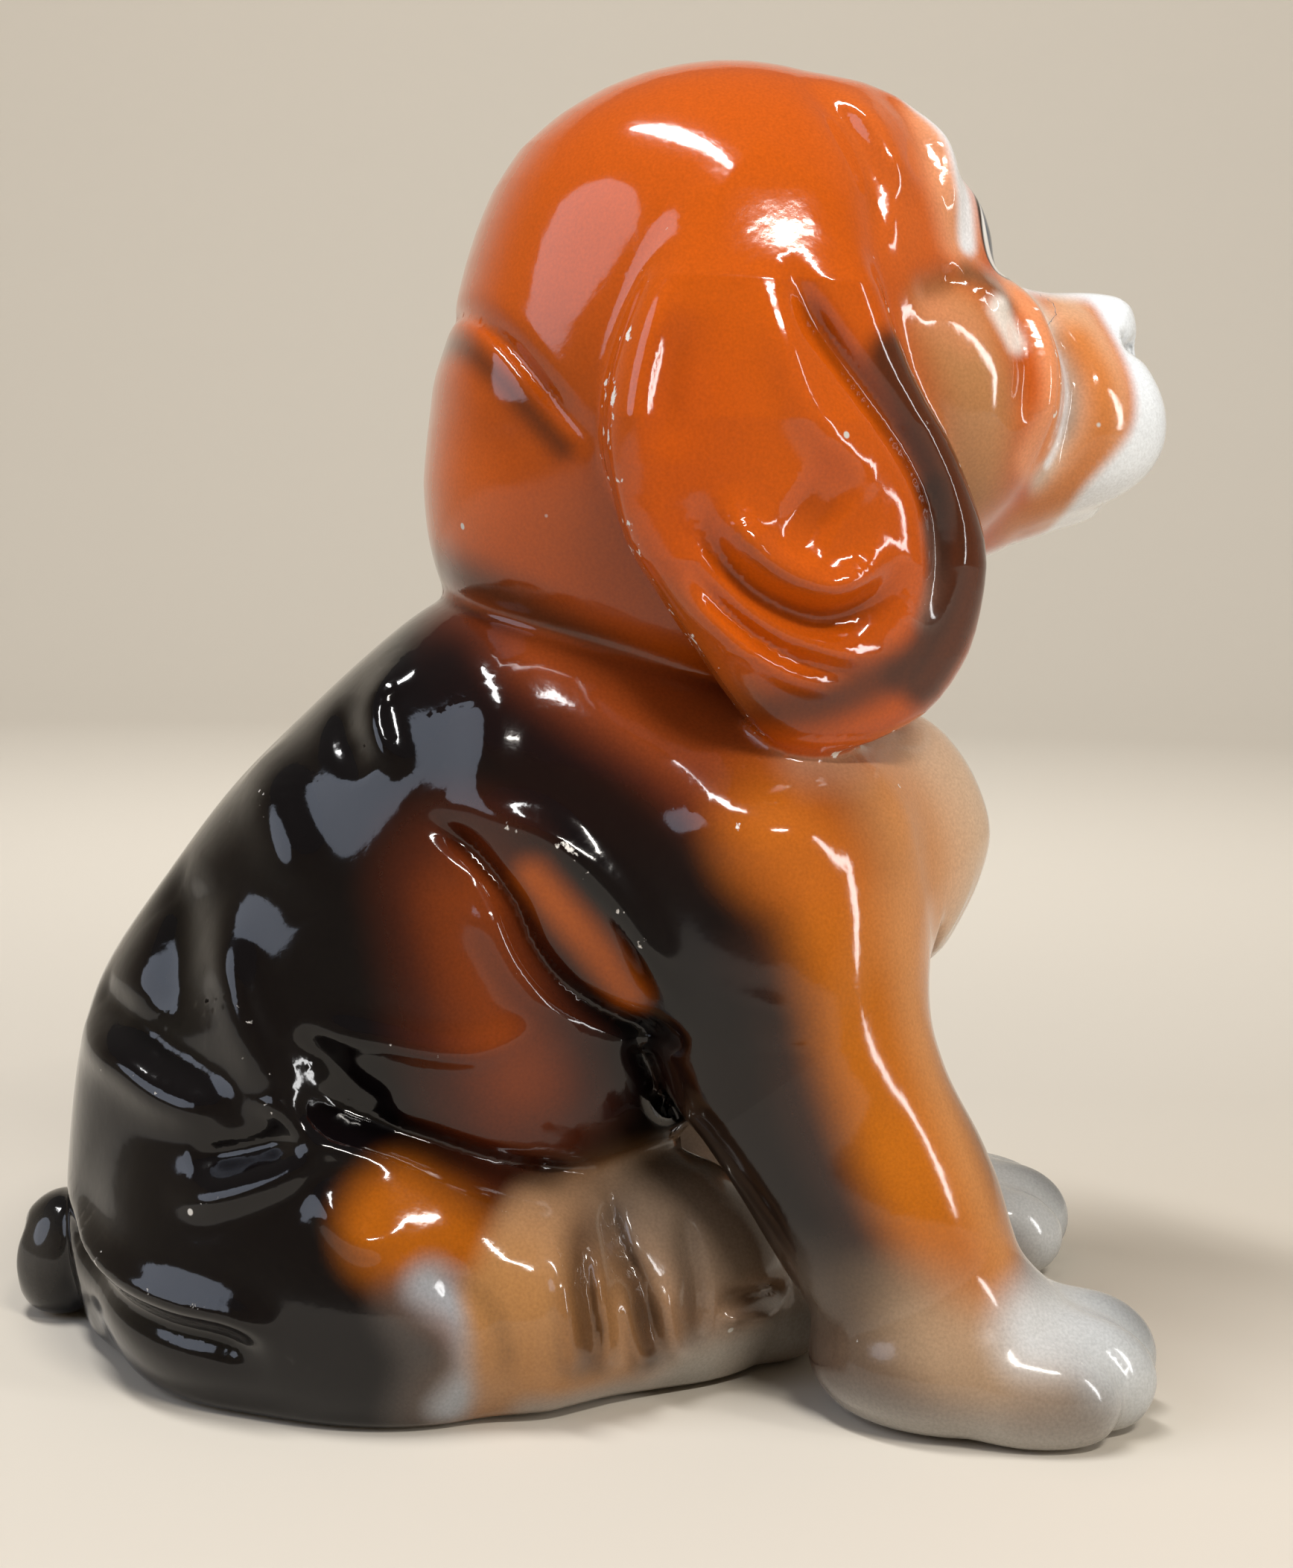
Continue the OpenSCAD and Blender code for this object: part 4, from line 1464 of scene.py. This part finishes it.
@dataclass(frozen=True)
class FiredCasting:
    """One casting out of the kiln: its node, a place on or near its skin, and its glaze."""

    node: str
    seed: Spot3
    glaze: AirbrushedGlaze

    def build(self, whole: Skin, chosen: Array) -> bpy.types.Object:
        """Makes the casting's mesh, closed at its joint faces.

        Args:
            whole: the skin of the whole figure.
            chosen: which of its polygons belong to the casting.

        Returns:
            The piece, in metres, with its glaze's attributes and smooth normals.
        """
        name = f"{self.node}_glazed"
        polygons = [whole.polygons[i] for i in chosen]
        used = np.unique(np.concatenate([np.array(p) for p in polygons]))
        place = np.full(len(whole.places), -1)
        place[used] = np.arange(len(used))
        mesh = bpy.data.meshes.new(name)
        mesh.from_pydata((whole.places[used] * MM).tolist(), [], [tuple(place[list(p)]) for p in polygons])
        open_edges = self.close(mesh)
        is_cap = read_all(mesh.polygons, "material_index")
        mesh.polygons.foreach_set("material_index", np.zeros(len(is_cap), int))
        mesh.polygons.foreach_set("use_smooth", np.ones(len(is_cap), bool))
        owner = np.repeat(np.arange(len(is_cap)), read_all(mesh.polygons, "loop_total"))
        flat = read_all(mesh.polygons, "normal", 3, float)[owner]
        curved = whole.normals[used][read_all(mesh.loops, "vertex_index")]
        mesh.normals_split_custom_set(np.where(is_cap[owner][:, None] > 0, flat, curved).tolist())
        self.lay_coat(mesh, {key: values[used] for key, values in whole.coat.items()})
        piece = bpy.data.objects.new(name, mesh)
        bpy.context.scene.collection.objects.link(piece)
        LOG.info("%s: %d polygons, %d capped, open edges %d", name, len(is_cap),
                 int((is_cap > 0).sum()), open_edges)
        return piece

    def close(self, mesh: bpy.types.Mesh) -> int:
        """Caps the joint faces, which get material index 1, and turns every face outwards.

        Args:
            mesh: the casting's mesh, which is changed.

        Returns:
            How many edges don't have just two faces.
        """
        bm = bmesh.new()
        bm.from_mesh(mesh)
        caps = bmesh.ops.holes_fill(bm, edges=[e for e in bm.edges if e.is_boundary], sides=0)["faces"]
        for face in caps:
            face.material_index = 1
        bmesh.ops.triangulate(bm, faces=caps)
        bmesh.ops.recalc_face_normals(bm, faces=bm.faces)
        if bm.calc_volume(signed=True) < 0:
            bmesh.ops.reverse_faces(bm, faces=bm.faces)
        open_edges = sum(1 for e in bm.edges if len(e.link_faces) != 2)
        bm.to_mesh(mesh)
        bm.free()
        return open_edges

    def lay_coat(self, mesh: bpy.types.Mesh, coat: dict[str, Array]) -> None:
        """Stores the colours and values that the glaze reads from each place.

        Args:
            mesh: the casting's mesh.
            coat: the values of each named attribute, one for each place.
        """
        for key, values in coat.items():
            if values.ndim == 2:
                layer = mesh.color_attributes.new(key, "FLOAT_COLOR", "POINT")
                layer.data.foreach_set("color", np.column_stack([values, np.ones(len(values))]).ravel())
            else:
                mesh.attributes.new(key, "FLOAT", "POINT").data.foreach_set("value", values)

    def dress(self, piece: bpy.types.Object, finishes: dict[str, bpy.types.Material]) -> None:
        """Glazes the piece, hangs it under the root body and hides the imported part of its node.

        Args:
            piece: the casting.
            finishes: the glazes made so far, by slot, which may gain one.
        """
        if self.glaze.slot not in finishes:
            finishes[self.glaze.slot] = self.glaze.make()
        piece.data.materials.clear()
        piece.data.materials.append(finishes[self.glaze.slot])
        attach(piece, "root")
        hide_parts(self.node)


EAR, LEG = AirbrushedGlaze("ear_glaze", 0.6), AirbrushedGlaze("leg_glaze", 0.8, roughness=0.13)
FOOT = AirbrushedGlaze("foot_glaze", 0.5, roughness=0.14)
KILN_LOAD = (
    FiredCasting("body_casting", (0, 60, 40), AirbrushedGlaze("body_glaze", 0.2, roughness=0.09, shine=0.3)),
    FiredCasting("head_casting", (0, -17, 155), AirbrushedGlaze("head_glaze", 0.5)),
    FiredCasting("ear_left", (38, -14, 100), EAR),
    FiredCasting("ear_right", (-38, -28, 100), EAR),
    FiredCasting("foreleg_left", (40, -44, 12), LEG),
    FiredCasting("foreleg_right", (-40, -44, 12), LEG),
    FiredCasting("hind_foot_left", (20, -20, 4), FOOT),
    FiredCasting("hind_foot_right", (-20, -20, 4), FOOT),
    FiredCasting("tail", (0, 69, 7), AirbrushedGlaze("tail_glaze", 0.3)),
)


# ------------------------------------------------------------------ studio

@dataclass(frozen=True)
class Softbox:
    """A flat soft light that faces the figure."""

    name: str
    place: Spot3
    width: float
    height: float
    power: float
    colour: str = "#ffffff"
    target: Spot3 = (0.0, 0.0, 0.08)

    def make(self) -> bpy.types.Object:
        """Hangs the light.

        Returns:
            The lamp.
        """
        light = bpy.data.lights.new(self.name, "AREA")
        light.shape = "ELLIPSE"
        light.size, light.size_y = self.width, self.height
        light.energy = self.power
        light.color = linear(self.colour)
        lamp = bpy.data.objects.new(self.name, light)
        lamp.location = self.place
        toward = Vector(self.target) - Vector(self.place)
        lamp.rotation_euler = toward.to_track_quat("-Z", "Y").to_euler()
        bpy.context.scene.collection.objects.link(lamp)
        return lamp


@dataclass(frozen=True)
class Studio:
    """Pale round floor that curves up into a wall all round, soft lights and the camera.

    Sizes are in metres, except for the lens, the sensor and the camera's place, in millimetres,
    and angles are in degrees.
    """

    radius: float = 1.7
    cove: float = 0.6
    wall: float = 1.6
    lens: float = 54.73
    sensor: float = 36.0
    camera_mm: Spot3 = (-292.0, -9.0, 94.6)
    pitch: float = 5.288
    roll: float = 1.086
    sides: int = 72
    fill: float = 0.16

    def sweep(self) -> bpy.types.Object:
        """Spins the floor and wall from one profile.

        Returns:
            The floor and wall.
        """
        profile = [(0.001, 0.0), (0.3, 0.0), (0.8, 0.0), (self.radius - self.cove, 0.0)]
        profile += [(self.radius - self.cove * (1 - math.sin(a)), self.cove * (1 - math.cos(a)))
                    for a in np.radians(np.arange(9, 91, 9))]
        profile.append((self.radius, self.wall))
        sides = self.sides
        places = [(r * math.cos(2 * math.pi * i / sides), r * math.sin(2 * math.pi * i / sides), z)
                  for r, z in profile for i in range(sides)]
        faces = [(k * sides + i, k * sides + (i + 1) % sides, (k + 1) * sides + (i + 1) % sides,
                  (k + 1) * sides + i) for k in range(len(profile) - 1) for i in range(sides)]
        faces.append(tuple(range(sides - 1, -1, -1)))
        mesh = bpy.data.meshes.new("studio_sweep")
        mesh.from_pydata(places, [], faces)
        mesh.polygons.foreach_set("use_smooth", [True] * len(mesh.polygons))
        floor = bpy.data.objects.new("studio_sweep", mesh)
        bpy.context.scene.collection.objects.link(floor)
        mesh.materials.append(MattBoard("matt_board", "#cdc5b8").make())
        return floor

    def lights(self) -> list[bpy.types.Object]:
        """Hangs the soft lights and sets the fill from all round.

        Returns:
            The lamps.
        """
        world = bpy.data.worlds.new("studio_air")
        world.use_nodes = True
        back = world.node_tree.nodes["Background"]
        back.inputs["Color"].default_value = rgba("#f2ede4")
        back.inputs["Strength"].default_value = self.fill
        bpy.context.scene.world = world
        boxes = [
            Softbox("key_strip", (-0.62, -0.30, 0.78), 0.34, 0.04, 4.6, "#fffaf2"),
            Softbox("top_strip", (-0.16, 0.20, 1.00), 0.60, 0.10, 6.6, "#ffffff"),
            Softbox("rear_softbox", (-0.45, 0.85, 0.62), 0.80, 0.80, 4.4, "#dfeaff"),
            Softbox("front_strip", (-0.45, -0.80, 0.35), 0.08, 0.60, 2.4, "#ffffff"),
            Softbox("backdrop_light", (0.50, 0.0, 1.10), 0.70, 1.60, 10.5, "#ffffff", (1.7, 0.0, 0.70)),
        ]
        return [box.make() for box in boxes]

    def camera(self) -> bpy.types.Object:
        """Stands the camera beside the figure, a little above its middle.

        Returns:
            The camera.
        """
        data = bpy.data.cameras.new("camera")
        data.lens, data.sensor_width = self.lens, self.sensor
        data.clip_start = 0.01
        c, s = spin(self.pitch)
        forward, right, up = Vector((c, 0.0, -s)), Vector((0.0, -1.0, 0.0)), Vector((s, 0.0, c))
        c, s = spin(self.roll)
        turned_right, turned_up = c * right + s * up, c * up - s * right
        camera = bpy.data.objects.new("camera", data)
        camera.matrix_world = (Matrix.Translation(Vector(self.camera_mm) * MM)
                               @ Matrix((turned_right, turned_up, -forward)).transposed().to_4x4())
        bpy.context.scene.collection.objects.link(camera)
        bpy.context.scene.camera = camera
        return camera


# ------------------------------------------------------------------ assembly

def main() -> None:
    """Builds the figure, cuts it into its castings, dresses them, and lights them."""
    logging.basicConfig(level=logging.INFO, format="%(message)s")
    whole, shares = model_skin(Puppy(), {casting.node: casting.seed for casting in KILN_LOAD})
    finishes: dict[str, bpy.types.Material] = {}
    for casting in KILN_LOAD:
        casting.dress(casting.build(whole, shares[casting.node]), finishes)
    studio = Studio()
    studio.sweep()
    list(studio.lights())
    studio.camera()
    bpy.context.scene.view_settings.view_transform = "Standard"
    bpy.context.view_layer.update()


if __name__ == "__main__":
    main()
